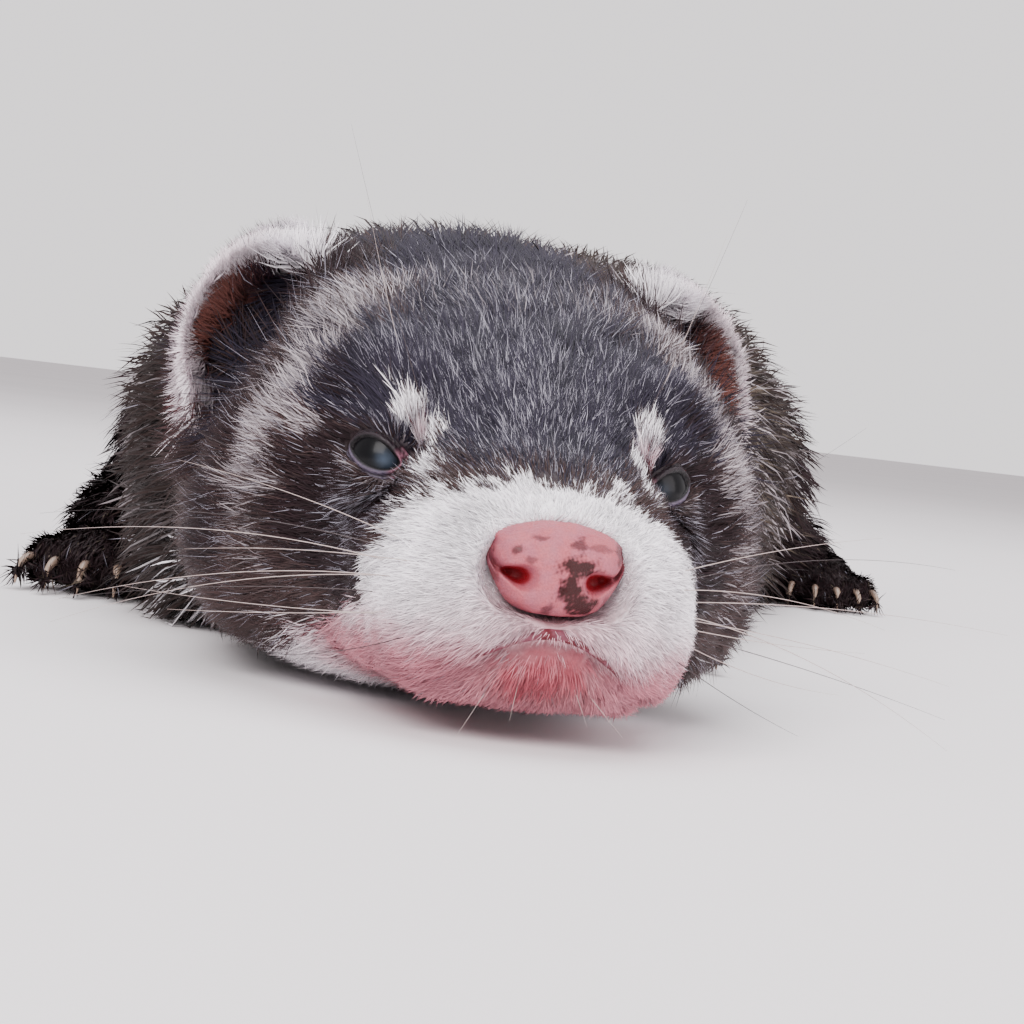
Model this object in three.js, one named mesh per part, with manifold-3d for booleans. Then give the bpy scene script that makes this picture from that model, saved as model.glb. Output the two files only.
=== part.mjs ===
// A young domestic ferret at life size, lying on its belly with its jaw on the ground, awake but drowsy.
// The body lies stretched behind the head in a slow bend, with the feet flat beside it.
// Millimetres, +Z up, the ground at z = 0. The face looks along -Y, and +X is on the animal's left.
// Every form reaches the tips of the coat.
import * as THREE from "three";
import { mergeVertices } from "three/addons/utils/BufferGeometryUtils.js";
import Module from "manifold-3d";

const wasm = await Module();
wasm.setup();

// Driving dimensions of the head, measured from the point midway between the eyes.
const EYE_HEIGHT = 21;
const NOSE_UP_DEG = 0;
const HALF_HEAD_WIDTH = 27.6;
const HALF_EYE_SPACING = 10.6;
const EYE_RADIUS = 3.7;
const LID_THICKNESS = 0.9;
const EYE_OPENING = { outer: 2.9, inner: 3.9, height: 3.3, slantDeg: 18 };
const EAR = { radius: 10.8, rim: 2.8, depth: 5.2, cupAhead: 3.6, hollowAhead: 4.5, hollowDepth: 6.2 };
const NOSE = { halfWidth: 5.5, height: 7, depth: 7.4, wing: 2.5 };
const LIP_GAP = 0.9;

// Driving dimensions of the body, the legs and the tail.
const HALF_RIB_WIDTH = 34;
const BACK_HEIGHT = 48;
const TAIL_RADIUS = 12;
const ARM_RADIUS = 9;
const SHANK_RADIUS = 9;
const FOREPAW = { width: 15, length: 18, height: 8.2, toe: 7.8, claw: 4.4 };
const HINDPAW = { width: 14, length: 21, height: 8, toe: 8.4, claw: 3.8 };
const TOES = 5;
const TOE_HEIGHT = 6.4;
const TOE_FAN_DEG = 16;
const CLAW_ROOT_RADIUS = 0.9;

// Gap between neighbours that touch.
const CLEARANCE = 0.3;
// Faces around the trunk, along it, and around a limb.
const TRUNK_AROUND = 30;
const HEAD_RINGS = 31;
const TAIL_AROUND = 20;
const LIMB_AROUND = 12;
const UP = new THREE.Vector3(0, 0, 1);
const BOTH_SIDES = { left: 1, right: -1 };

const vec = (x, y, z) => new THREE.Vector3(x, y, z);

// The head's own frame: x to the animal's left, y backwards and z up, from midway between the eyes.
const headFrame = new THREE.Matrix4()
  .makeTranslation(0, 0, EYE_HEIGHT)
  .multiply(new THREE.Matrix4().makeRotationX(THREE.MathUtils.degToRad(-NOSE_UP_DEG)));
const toHead = headFrame.clone().invert();
const onHead = (x, y, z) => vec(x, y, z).applyMatrix4(headFrame);

// The head from nose to nape: distance behind the eyes, height of the middle line, then the half width,
// the height above and the depth below that line.
const HEAD_STATIONS = [
  { name: "snout tip", back: -20.6, mid: -8.8, side: 5.0, up: 3.4, down: 4.2 },
  { name: "snout", back: -18.4, mid: -9.0, side: 8.0, up: 5.2, down: 6.8 },
  { name: "lips", back: -15, mid: -9.0, side: 10.6, up: 6.8, down: 9.2 },
  { name: "whisker pads", back: -10, mid: -8.6, side: 12.8, up: 8.1, down: 10.9 },
  { name: "stop", back: -5, mid: -7.2, side: 14.4, up: 9.6, down: 12.7 },
  { name: "eyes", back: 0, mid: -6, side: 17.0, up: 12.2, down: 14.3 },
  { name: "brow", back: 6, mid: -4.8, side: 20.8, up: 15.0, down: 15.8 },
  { name: "temples", back: 14, mid: -3.6, side: 25.0, up: 17.9, down: 17.3 },
  { name: "cheeks", back: 24, mid: -2.4, side: HALF_HEAD_WIDTH, up: 19.6, down: 18.9 },
  { name: "ears", back: 33, mid: -1.4, side: 26.8, up: 20.6, down: 20.2 },
  { name: "nape", back: 43, mid: -0.4, side: 25.6, up: 20.9, down: 21.6 },
];

// The rest of the trunk, by the place of its middle line above the ground.
const BODY_STATIONS = [
  { name: "neck", at: [-2, 61, 20], side: 26.2, up: 20.8, down: 22 },
  { name: "withers", at: [2, 86, 20], side: 29, up: 21.5, down: 22 },
  { name: "ribs", at: [14, 121, 20.5], side: HALF_RIB_WIDTH, up: BACK_HEIGHT - 23.5, down: 23.5 },
  { name: "waist", at: [28, 155, 21], side: 32.5, up: BACK_HEIGHT - 23, down: 24 },
  { name: "loins", at: [39, 189, 21.5], side: 34.5, up: BACK_HEIGHT - 21.5, down: 24.5 },
  { name: "hips", at: [44, 222, 21], side: 32, up: 28.5, down: 24 },
  { name: "rump", at: [45, 252, 17], side: 23, up: 22.5, down: 20 },
  { name: "tail root", at: [49, 279, 12.5], side: TAIL_RADIUS + 1, up: 12, down: 14 },
  { name: "tail", at: [59, 310, 10.5], side: TAIL_RADIUS, up: TAIL_RADIUS - 1, down: 12 },
  { name: "brush", at: [75, 338, 9.5], side: TAIL_RADIUS - 1, up: TAIL_RADIUS - 2, down: 11 },
  { name: "tail end", at: [96, 361, 7.5], side: 7.4, up: 7, down: 8.5 },
  { name: "tail tip", at: [108, 371, 6], side: 2, up: 2, down: 2 },
];

const TRUNK = [
  ...HEAD_STATIONS.map((s) => ({ ...s, at: onHead(0, s.back, s.mid).toArray() })),
  ...BODY_STATIONS,
];
const share = (name) => TRUNK.findIndex((s) => s.name === name) / (TRUNK.length - 1);

// Swellings and hollows of one side of the face, in the head's frame: centre, reach and push.
// Both sides get them.
const FACE_FORMS = [
  { name: "whisker pad", at: [8.6, -14.2, -11.6], reach: 4.6, push: [1.3, -1.1, -0.5] },
  { name: "lip corner", at: [11.4, -6, -16], reach: 4.6, push: [0.9, 0.2, -0.5] },
  { name: "cheek", at: [24, 12, -10], reach: 9.5, push: [1.9, -0.9, -0.6] },
  { name: "eye hollow", at: [14.2, -2.4, -0.8], reach: 5.0, push: [-1.5, 2.3, -0.2] },
  { name: "brow ridge", at: [12.6, 1.5, 6.4], reach: 4.2, push: [0.5, -0.7, 0.8] },
  { name: "under the nose", at: [0, -18.8, -12.6], reach: 2.6, push: [0, 0.9, 0] },
  { name: "flew", at: [8.8, -11.5, -16.4], reach: 3.4, push: [0.4, -0.3, -1.4] },
  { name: "jaw side", at: [11, -11, -21], reach: 4.6, push: [-2.6, 0.8, 1.6] },
  { name: "chin", at: [3.4, -14.6, -17.2], reach: 4.4, push: [0, -0.7, 0] },
  { name: "ear hollow", at: [25.5, 23.5, 6.5], reach: 7.6, push: [-5.6, 0.8, -0.4] },
];

function sculpt(place) {
  const p = place.clone().applyMatrix4(toHead);
  const pushed = p.clone();
  for (const form of FACE_FORMS) {
    for (const hand of Object.values(BOTH_SIDES)) {
      const centre = vec(form.at[0] * hand, form.at[1], form.at[2]);
      const near = Math.exp(-p.distanceToSquared(centre) / form.reach ** 2);
      pushed.add(vec(form.push[0] * hand, form.push[1], form.push[2]).multiplyScalar(near));
    }
  }
  return pushed.applyMatrix4(headFrame);
}

// Turns a closed geometry into a solid that can be joined and cut.
function solid(geometry) {
  geometry.deleteAttribute("normal");
  geometry.deleteAttribute("uv");
  const merged = mergeVertices(geometry, 1e-4);
  return new wasm.Manifold(
    new wasm.Mesh({
      numProp: 3,
      vertProperties: merged.attributes.position.array,
      triVerts: new Uint32Array(merged.index.array),
    }),
  );
}

// A closed skin over rings of equal count, with a fan at each end.
function closedSkin(rings) {
  const around = rings[0].length;
  const places = rings.flat();
  const faces = [];
  for (let i = 0; i < rings.length - 1; i++) {
    for (let j = 0; j < around; j++) {
      const here = i * around + j;
      const beside = i * around + ((j + 1) % around);
      faces.push(here, here + around, beside, beside, here + around, beside + around);
    }
  }
  for (const [ring, turn] of [[0, 1], [rings.length - 1, -1]]) {
    const middle = rings[ring].reduce((sum, p) => sum.add(p), vec(0, 0, 0)).divideScalar(around);
    const hub = places.push(middle) - 1;
    for (let j = 0; j < around; j++) {
      const pair = [ring * around + j, ring * around + ((j + 1) % around)];
      faces.push(hub, ...(turn > 0 ? pair : pair.reverse()));
    }
  }
  return new THREE.BufferGeometry().setFromPoints(places).setIndex(faces);
}

// A closed form along a curve through stations, which give its half width, its height and its depth there.
// A section is round where back and belly are 2, and squarer above that.
function form(
  stations,
  { rings, around, from = 0, to = 1, grow = 0, shape = (p) => p, back = 2.05, belly = 3 },
) {
  const line = new THREE.CatmullRomCurve3(stations.map((s) => vec(...s.at)));
  const sizes = new THREE.CatmullRomCurve3(
    stations.map((s) => vec(s.side, s.up, s.down)), false, "catmullrom", 0.5,
  );
  const shapes = [];
  for (let i = 0; i <= rings; i++) {
    const t = from + ((to - from) * i) / rings;
    const middle = line.getPoint(t);
    const along = line.getTangent(t);
    const size = sizes.getPoint(t).addScalar(grow);
    const aside = along.clone().cross(UP).normalize();
    const over = aside.clone().cross(along);
    const ring = [];
    for (let j = 0; j < around; j++) {
      const angle = (2 * Math.PI * (j + 0.5)) / around;
      const above = Math.sin(angle) > 0;
      const height = above ? size.y : size.z;
      const bend = (v) => Math.sign(v) * Math.abs(v) ** (2 / (above ? back : belly));
      ring.push(
        shape(
          middle.clone()
            .addScaledVector(aside, size.x * bend(Math.cos(angle)))
            .addScaledVector(over, height * bend(Math.sin(angle))),
        ),
      );
    }
    shapes.push(ring);
  }
  return solid(closedSkin(shapes));
}

// A length of the trunk between two named stations, less half the gap at each end that has a neighbour.
function trunk(fromName, toName, rings, grow = 0, around = TRUNK_AROUND) {
  const step = 1 / (TRUNK.length - 1);
  const gapShare = (name) => {
    const i = TRUNK.findIndex((s) => s.name === name);
    if (i === 0 || i === TRUNK.length - 1) return 0;
    const span = vec(...TRUNK[i + 1].at).distanceTo(vec(...TRUNK[i - 1].at)) / 2;
    return ((CLEARANCE * 0.6) / span) * step;
  };
  return form(TRUNK, {
    rings,
    around,
    grow,
    shape: sculpt,
    from: share(fromName) + (grow ? -gapShare(fromName) : gapShare(fromName)),
    to: share(toName) + (grow ? gapShare(toName) : -gapShare(toName)),
  });
}

// An ellipsoid at a place, with its own axes.
function ball(centre, radii, { turn = new THREE.Quaternion(), around = 20, rings = 14 } = {}) {
  const geometry = new THREE.SphereGeometry(1, around, rings);
  geometry.applyMatrix4(new THREE.Matrix4().compose(vec(...centre), turn, vec(...radii)));
  return solid(geometry);
}

// The turn that takes +Z to a direction, with +Y kept as near to the given side as it can be.
function facing(direction, side = UP) {
  const z = vec(...direction).normalize();
  const x = side.clone().cross(z).normalize();
  const y = z.clone().cross(x);
  return new THREE.Quaternion().setFromRotationMatrix(new THREE.Matrix4().makeBasis(x, y, z));
}

const join = (...solids) => wasm.Manifold.union(solids);
const placed = (made, matrix) => made.transform(matrix.toArray());
const onGround = (made) => made.trimByPlane([0, 0, 1], 0);

// The largest closed surface of a solid, which leaves out loose scraps.
function largest(made) {
  const bodies = made.decompose();
  return bodies.reduce((best, b) => (b.volume() > best.volume() ? b : best), bodies[0]);
}

// The bare nose pad with its two wings.
function noseForm(grow) {
  const { halfWidth, height, depth, wing } = NOSE;
  const wings = Object.values(BOTH_SIDES).map((hand) => {
    const radii = [wing, depth * 0.4, height * 0.43].map((r) => r + grow);
    return ball([hand * (halfWidth - wing), -19.9, -7.7], radii, { around: 10, rings: 8 });
  });
  const radii = [halfWidth * 0.9, depth / 2, height / 2].map((r) => r + grow);
  return join(ball([0, -19.4, -7.6], radii, { around: 16, rings: 8 }), ...wings);
}

// A round tube with the same radius above, below and beside its line.
const tube = (stations, faces) =>
  form(stations.map(({ at, radius }) => ({ at, side: radius, up: radius, down: radius })), {
    ...faces,
    back: 2,
    belly: 2,
  });

// Each nostril is a pit with a slit that runs outwards round its wing.
function noseSolid() {
  const nostrils = Object.values(BOTH_SIDES).flatMap((hand) => [
    ball([hand * 3.0, -22.6, -8.3], [1.25, 2.4, 1.0], { around: 10, rings: 6 }),
    tube(
      [
        { at: [hand * 3.2, -22.8, -8.6], radius: 0.55 },
        { at: [hand * 4.4, -22.4, -8.4], radius: 0.5 },
        { at: [hand * 6.0, -20.6, -7.4], radius: 0.4 },
      ],
      { rings: 4, around: 6 },
    ),
  ]);
  const groove = ball([0, -23.7, -9.4], [0.45, 1.2, 2.2], { around: 8, rings: 6 });
  return noseForm(0).subtract(join(...nostrils, groove));
}

// Where an eye lies and where it looks, in the head's frame: outwards, forwards and a little up.
const eyeCentre = (hand) => [hand * HALF_EYE_SPACING, 1.9, -1.3];
const gaze = (hand) => [hand * 0.5, -0.84, 0.16];

// What is taken out of the lids: the ball's own room, and the almond between the lids.
function eyeRoom(hand) {
  const { outer, inner, height, slantDeg } = EYE_OPENING;
  const almond = new THREE.Shape();
  almond.moveTo(-outer, 0);
  almond.quadraticCurveTo(0, height * 1.1, inner, 0);
  almond.quadraticCurveTo(0, -height * 0.9, -outer, 0);
  const depth = 2.5 * EYE_RADIUS;
  const prism = new THREE.ExtrudeGeometry(almond, { depth, bevelEnabled: false, curveSegments: 6 });
  const slant = THREE.MathUtils.degToRad(slantDeg * hand);
  const turn = facing(gaze(hand)).multiply(new THREE.Quaternion().setFromAxisAngle(UP, slant));
  prism.applyMatrix4(new THREE.Matrix4().compose(vec(...eyeCentre(hand)), turn, vec(1, 1, 1)));
  const room = EYE_RADIUS + CLEARANCE;
  return join(ball(eyeCentre(hand), [room, room, room], { around: 16, rings: 10 }), solid(prism));
}

const lidForm = (hand) => {
  const radius = EYE_RADIUS + CLEARANCE + LID_THICKNESS;
  return ball(eyeCentre(hand), [radius, radius, radius], { around: 16, rings: 10 });
};

// The mouth's line: high under the nose, low at the sides and up again to each corner. It is a blade-like
// form, as deep into the head as the lips are thick, that narrows to the corners.
function mouthLine() {
  const half = [
    { at: [3.2, -18.4, -14.2], side: 2.6, open: 0.9 },
    { at: [6.2, -16.2, -16.6], side: 2.6, open: 0.85 },
    { at: [9.2, -12, -18.0], side: 2.4, open: 0.8 },
    { at: [12, -6.6, -17.7], side: 2.2, open: 0.75 },
    { at: [13.8, -1.6, -16.6], side: 1.2, open: 0.65 },
  ];
  const mirrored = half.map((s) => ({ ...s, at: [-s.at[0], s.at[1], s.at[2]] })).reverse();
  const middle = { at: [0, -19.2, -12.9], side: 2.6, open: 1 };
  const stations = [...mirrored, middle, ...half].map(({ at, side, open }) => {
    const half = (LIP_GAP * open) / 2;
    return { at, side, up: half, down: half };
  });
  return form(stations, { rings: 20, around: 5, belly: 2 });
}

function headSolid() {
  const onFace = (made) => placed(made, headFrame);
  const skull = trunk("snout tip", "nape", HEAD_RINGS);
  const lids = Object.values(BOTH_SIDES).map((hand) => onFace(lidForm(hand)));
  const rooms = Object.values(BOTH_SIDES).map((hand) => onFace(eyeRoom(hand)));
  const hollows = Object.values(BOTH_SIDES).map((hand) => onFace(earHollow(hand)));
  const cuts = [...rooms, ...hollows, onFace(mouthLine()), onFace(noseForm(CLEARANCE))];
  return largest(onGround(join(skull, ...lids).subtract(join(...cuts))));
}

// Where an ear looks, in the head's frame: forwards, outwards and a little up.
const earLook = (hand) => vec(hand * 0.42, -0.88, 0.18).normalize();
const earCentre = (hand) => vec(hand * 19.6, 31.5, 6.9);

// The hollow that an ear's cup goes down into, at the temple.
function earHollow(hand) {
  const look = earLook(hand);
  const centre = earCentre(hand).addScaledVector(look, EAR.hollowAhead).add(vec(0, 0, -1.5));
  const across = EAR.radius - EAR.rim;
  const turn = facing(look.toArray());
  return ball(centre.toArray(), [across, across + 0.6, EAR.hollowDepth], { turn, around: 16, rings: 10 });
}

// An ear: a thick round rim about a cup that opens forwards and outwards.
function earSolid(hand) {
  const look = earLook(hand);
  const turn = facing(look.toArray());
  const centre = earCentre(hand);
  const inside = EAR.radius - EAR.rim;
  const radii = [EAR.radius - 0.6, EAR.radius, EAR.depth];
  const outer = ball(centre.toArray(), radii, { turn, around: 24, rings: 10 });
  centre.addScaledVector(look, EAR.cupAhead);
  const cup = ball(centre.toArray(), [inside, inside + 0.3, EAR.depth], { turn, around: 20, rings: 10 });
  const made = placed(outer.subtract(cup), headFrame);
  return largest(made.subtract(trunk("brow", "neck", 22, CLEARANCE)));
}

// A claw: it leaves the toe level and bends down to the ground.
function clawForm(clawAt, root, length) {
  return tube(
    [
      { at: clawAt(root, TOE_HEIGHT * 0.56), radius: CLAW_ROOT_RADIUS },
      { at: clawAt(root + length / 2, TOE_HEIGHT * 0.5), radius: CLAW_ROOT_RADIUS * 0.65 },
      { at: clawAt(root + length, 1.2), radius: CLAW_ROOT_RADIUS * 0.22 },
    ],
    { rings: 2, around: 4 },
  );
}

// A paw on the ground: a flat palm and five toes in a fan, each with its curved claw.
function pawSolid(size, wrist, toward) {
  const ahead = toward.clone().setZ(0).normalize();
  const aside = ahead.clone().cross(UP);
  const spot = (forward, sideways, height) =>
    wrist.clone().addScaledVector(ahead, forward).addScaledVector(aside, sideways).setZ(height);
  const palm = spot(size.length * 0.3, 0, size.height / 2 - 0.6).toArray();
  const palmRadii = [size.width * 0.44, size.height / 2 + 0.4, size.length * 0.48];
  const pieces = [ball(palm, palmRadii, { turn: facing(ahead.toArray()), around: LIMB_AROUND - 2, rings: 6 })];
  for (let i = 0; i < TOES; i++) {
    const fan = (2 * i) / (TOES - 1) - 1;
    const toeAhead = ahead.clone().applyAxisAngle(UP, THREE.MathUtils.degToRad(-TOE_FAN_DEG * fan));
    const toe = spot(size.length * (0.62 - 0.16 * fan ** 2), size.width * 0.38 * fan, TOE_HEIGHT * 0.47);
    const toeRadii = [size.width / 8, TOE_HEIGHT / 2, size.toe / 2];
    const clawAt = (forward, height) =>
      toe.clone().addScaledVector(toeAhead, forward).setZ(height).toArray();
    pieces.push(
      ball(toe.toArray(), toeRadii, { turn: facing(toeAhead.toArray()), around: 7, rings: 5 }),
      clawForm(clawAt, size.toe * 0.3, size.claw),
    );
  }
  return join(...pieces);
}

// A limb's stations, from places given as ahead, outwards and height from a station of the trunk.
function limb(stationName, hand, joints) {
  const line = new THREE.CatmullRomCurve3(TRUNK.map((s) => vec(...s.at)));
  const t = share(stationName);
  const origin = line.getPoint(t).setZ(0);
  const back = line.getTangent(t).setZ(0).normalize();
  const outwards = back.clone().cross(UP).multiplyScalar(hand);
  return joints.map(({ ahead, out, height, girth, tall = girth }) => {
    const at = origin.clone().addScaledVector(back, -ahead).addScaledVector(outwards, out).setZ(height);
    return { at: at.toArray(), side: girth, up: tall, down: tall };
  });
}

const limbForm = (stations, rings, grow = 0) =>
  form(stations, { rings, around: LIMB_AROUND, grow, back: 2, belly: 2.4 });

// Points on the ground beside a station of the trunk.
const pointsBeside = (stationName, hand, places, out) =>
  limb(stationName, hand, places.map((ahead) => ({ ahead, out, height: 0 }))).map((s) => vec(...s.at));

// A foreleg is laid along the chest: the elbow is back, the forearm and the paw point ahead.
function forelimb(hand, grow = 0) {
  const upperArm = limb("withers", hand, [
    { ahead: -4, out: 17, height: 25, girth: 3 },
    { ahead: -7, out: 20, height: 22, girth: 9.5, tall: 11 },
    { ahead: -17, out: 25, height: 15.5, girth: ARM_RADIUS + 1.5, tall: 12 },
    { ahead: -25, out: 28.5, height: 9, girth: ARM_RADIUS - 1 },
    { ahead: -29, out: 28.5, height: 7, girth: 3 },
  ]);
  const forearm = limb("withers", hand, [
    { ahead: -30, out: 28.5, height: 7, girth: 3 },
    { ahead: -25, out: 29, height: 7.5, girth: ARM_RADIUS - 0.5 },
    { ahead: -9, out: 30, height: 7, girth: ARM_RADIUS - 1.4 },
    { ahead: 1, out: 30, height: 6, girth: ARM_RADIUS - 2.4 },
    { ahead: 6, out: 30, height: 5, girth: 3.6 },
  ]);
  return join(limbForm(upperArm, 10, grow), limbForm(forearm, 9, grow));
}

function forepaw(hand) {
  const [wrist, fingers] = pointsBeside("withers", hand, [3, 17], 30);
  return pawSolid(FOREPAW, wrist, fingers.sub(wrist)).subtract(forelimb(hand, CLEARANCE));
}

// A hind leg is folded beside the loins: the knee is ahead, the heel back and the foot flat.
function hindlimb(hand, grow = 0) {
  const thigh = limb("hips", hand, [
    { ahead: -22, out: 20, height: 20, girth: 3 },
    { ahead: -14, out: 22, height: 20, girth: 12, tall: 16 },
    { ahead: 4, out: 25, height: 20, girth: 15.5, tall: 19 },
    { ahead: 22, out: 29, height: 15, girth: 12.5, tall: 14 },
    { ahead: 31, out: 31, height: 12, girth: 4 },
  ]);
  const shank = limb("hips", hand, [
    { ahead: 28, out: 32, height: 11, girth: 4 },
    { ahead: 20, out: 34, height: 9.5, girth: SHANK_RADIUS },
    { ahead: 4, out: 37.5, height: 8, girth: SHANK_RADIUS - 0.5 },
    { ahead: -8, out: 39, height: 7, girth: SHANK_RADIUS - 1.8 },
    { ahead: -15, out: 39.5, height: 6, girth: 3 },
  ]);
  return join(limbForm(thigh, 12, grow), limbForm(shank, 9, grow));
}

function hindpaw(hand) {
  const sole = limb("hips", hand, [
    { ahead: -10, out: 41, height: 4.6, girth: 3 },
    { ahead: -4, out: 41.5, height: 4.8, girth: 5.6 },
    { ahead: 8, out: 43, height: 4.8, girth: 5.8, tall: 5 },
    { ahead: 18, out: 44, height: 4.4, girth: 6, tall: 4.8 },
    { ahead: 24, out: 44.5, height: 4, girth: 4 },
  ]);
  const [instep, toes] = pointsBeside("hips", hand, [15, 28], 44.5);
  const foot = join(limbForm(sole, 8), pawSolid(HINDPAW, instep, toes.sub(instep)));
  return foot.subtract(hindlimb(hand, CLEARANCE));
}

const coat = (colour, roughness = 0.9) =>
  new THREE.MeshStandardMaterial({ color: colour, roughness, metalness: 0 });
const FACE_COAT = coat(0x8b8486);
const BODY_COAT = coat(0x6a5a50);
const DARK_COAT = coat(0x33292a);
const EAR_COAT = coat(0xc9bfb8);
const NOSE_SKIN = coat(0xd98d92, 0.45);
const EYE_GLASS = coat(0x0b0d12, 0.08);

const ferret = new THREE.Group();

function addNode(name, made, material) {
  const mesh = made.getMesh();
  const geometry = new THREE.BufferGeometry()
    .setAttribute("position", new THREE.BufferAttribute(mesh.vertProperties, mesh.numProp))
    .setIndex(new THREE.BufferAttribute(mesh.triVerts, 1));
  const node = new THREE.Mesh(geometry, material);
  node.name = name;
  ferret.add(node);
}

addNode("head", headSolid(), FACE_COAT);
addNode("nose", placed(noseSolid(), headFrame), NOSE_SKIN);
for (const [side, hand] of Object.entries(BOTH_SIDES)) {
  const eyeball = ball(eyeCentre(hand), [EYE_RADIUS, EYE_RADIUS, EYE_RADIUS], { around: 14, rings: 10 });
  addNode(`eye_${side}`, placed(eyeball, headFrame), EYE_GLASS);
  addNode(`ear_${side}`, earSolid(hand), EAR_COAT);
}

const BODY_NODES = [
  { name: "neck", from: "nape", to: "withers", rings: 6, coat: BODY_COAT },
  { name: "chest", from: "withers", to: "waist", rings: 9, coat: BODY_COAT },
  { name: "belly", from: "waist", to: "loins", rings: 5, coat: BODY_COAT },
  { name: "rump", from: "loins", to: "tail root", rings: 12, coat: BODY_COAT },
  { name: "tail_base", from: "tail root", to: "brush", rings: 9, coat: DARK_COAT },
  { name: "tail_tip", from: "brush", to: "tail tip", rings: 10, coat: DARK_COAT },
];
for (const node of BODY_NODES) {
  const around = node.name.startsWith("tail") ? TAIL_AROUND : TRUNK_AROUND;
  addNode(node.name, onGround(trunk(node.from, node.to, node.rings, 0, around)), node.coat);
}

// The legs are cut clear of the trunk that they lie against.
const trunkBeside = {
  fore: trunk("ears", "waist", 22, CLEARANCE),
  hind: trunk("waist", "tail", 22, CLEARANCE),
};
for (const [side, hand] of Object.entries(BOTH_SIDES)) {
  for (const [name, made, beside] of [
    ["foreleg", forelimb(hand), trunkBeside.fore],
    ["forepaw", forepaw(hand), trunkBeside.fore],
    ["hindleg", hindlimb(hand), trunkBeside.hind],
    ["hindpaw", hindpaw(hand), trunkBeside.hind],
  ]) {
    addNode(`${name}_${side}`, largest(onGround(made.subtract(beside))), DARK_COAT);
  }
}

// The origin is on the ground, below the middle of the whole animal.
const middle = new THREE.Box3().setFromObject(ferret).getCenter(vec(0, 0, 0));
ferret.position.set(-middle.x, -middle.y, 0);

export default ferret;
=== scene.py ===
"""A life-size young ferret lying on its belly: its skin, its coat in mesh tufts, its face and the stage."""

import math

import bmesh
import bpy
import numpy as np
from bpy.props import FloatProperty, FloatVectorProperty, IntProperty, PointerProperty
from mathutils import Matrix, Vector
from mathutils.bvhtree import BVHTree
from mathutils.kdtree import KDTree


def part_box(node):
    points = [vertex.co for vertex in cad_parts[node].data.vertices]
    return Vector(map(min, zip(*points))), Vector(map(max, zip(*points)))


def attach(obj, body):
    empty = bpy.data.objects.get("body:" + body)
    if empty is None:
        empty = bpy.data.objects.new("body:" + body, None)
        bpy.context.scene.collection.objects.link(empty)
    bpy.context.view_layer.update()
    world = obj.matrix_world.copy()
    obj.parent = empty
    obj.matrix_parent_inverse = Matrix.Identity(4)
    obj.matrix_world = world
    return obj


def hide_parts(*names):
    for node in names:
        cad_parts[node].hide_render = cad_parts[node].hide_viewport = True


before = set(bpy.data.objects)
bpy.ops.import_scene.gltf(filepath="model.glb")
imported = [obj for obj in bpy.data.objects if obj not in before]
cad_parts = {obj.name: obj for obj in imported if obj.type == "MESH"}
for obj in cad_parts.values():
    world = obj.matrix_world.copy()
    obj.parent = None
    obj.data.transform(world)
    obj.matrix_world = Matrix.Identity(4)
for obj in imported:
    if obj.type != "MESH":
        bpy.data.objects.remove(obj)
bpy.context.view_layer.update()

bl_info = {
    "name": "Lying Ferret",
    "version": (1, 0, 0),
    "blender": (4, 5, 0),
    "location": "View3D > Sidebar > Ferret",
    "description": "Dresses a solid model of a ferret with skin, coat, eyes, nose, claws and whiskers",
    "category": "Object",
}

# Sizes below are in millimetres in the head's frame: x to the animal's left, y backwards, z up, from
# midway between the eyes. The eyeballs of the frame say where that is. Places are given for the left side.
MM = 0.001
SIDES = {"left": 1, "right": -1}
EYE_CENTRE = np.array([10.6, 1.9, -1.3])
GAZE = np.array([0.5, -0.84, 0.16])
SNOUT = np.array([0, -20.5, -7.8])
NOSE_CENTRE = np.array([0.0, -19.4, -7.6])
SKULL_CENTRE = np.array([0, 14, -3])
EAR_CENTRE = np.array([18.7, 31.5, 6.9])
EAR_LOOK = np.array([0.42, -0.88, 0.18])
UP = np.array([0, 0, 1.0])


def node_middle(node):
    """The middle of a node's box, in millimetres in the frame."""
    low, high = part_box(node)
    return np.array((low + high) / 2) / MM


EYES_MIDDLE = (node_middle("eye_left") + node_middle("eye_right")) / 2
HEAD_ORIGIN = EYES_MIDDLE - EYE_CENTRE * (0, 1, 1)
FLOOR = -HEAD_ORIGIN[2]
EYE_RADIUS = (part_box("eye_left")[1].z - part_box("eye_left")[0].z) / 2 / MM

PAIRED = ("ear", "foreleg", "forepaw", "hindleg", "hindpaw")
FLESH = ["head", "neck", "chest", "belly", "rump", "tail_base", "tail_tip"]
FLESH += [f"{part}_{side}" for part in PAIRED for side in SIDES]
PLAIN = np.array([node.removesuffix("_left").removesuffix("_right") for node in FLESH])
TAIL = ("tail_base", "tail_tip")
LIMBS = ("foreleg", "hindleg", "forepaw", "hindpaw", *TAIL)

# The middle line of the neck, trunk and tail, which the coat follows.
SPINE = np.array([
    (0, -20, -8.8), (0, 0, -6), (0, 24, -2.4), (0, 43, -0.4), (-2, 61, -1), (2, 86, -1), (14, 121, -0.5),
    (28, 155, 0), (39, 189, 0.5), (44, 222, 0), (45, 252, -4), (49, 279, -8.5), (59, 310, -10.5),
    (75, 338, -11.5), (96, 361, -13.5), (108, 371, -15),
], dtype=float)
SPINE_LENGTH = np.linalg.norm(np.diff(SPINE, axis=0), axis=1).sum()


# What the operators share: the skin's shape, its object and its search tree.
made = {}


def mirrored(place, hand):
    """A place or direction given for the animal's left side, on the side of this hand."""
    return np.array(place, dtype=float) * (hand, 1, 1)


def unit(vectors):
    """The vectors at length 1."""
    return vectors / np.maximum(np.linalg.norm(vectors, axis=-1, keepdims=True), 1e-9)


def across(vectors, normals):
    """What is left of the vectors along the surface with these normals, at length 1."""
    return unit(vectors - normals * np.sum(vectors * normals, axis=-1, keepdims=True))


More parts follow.
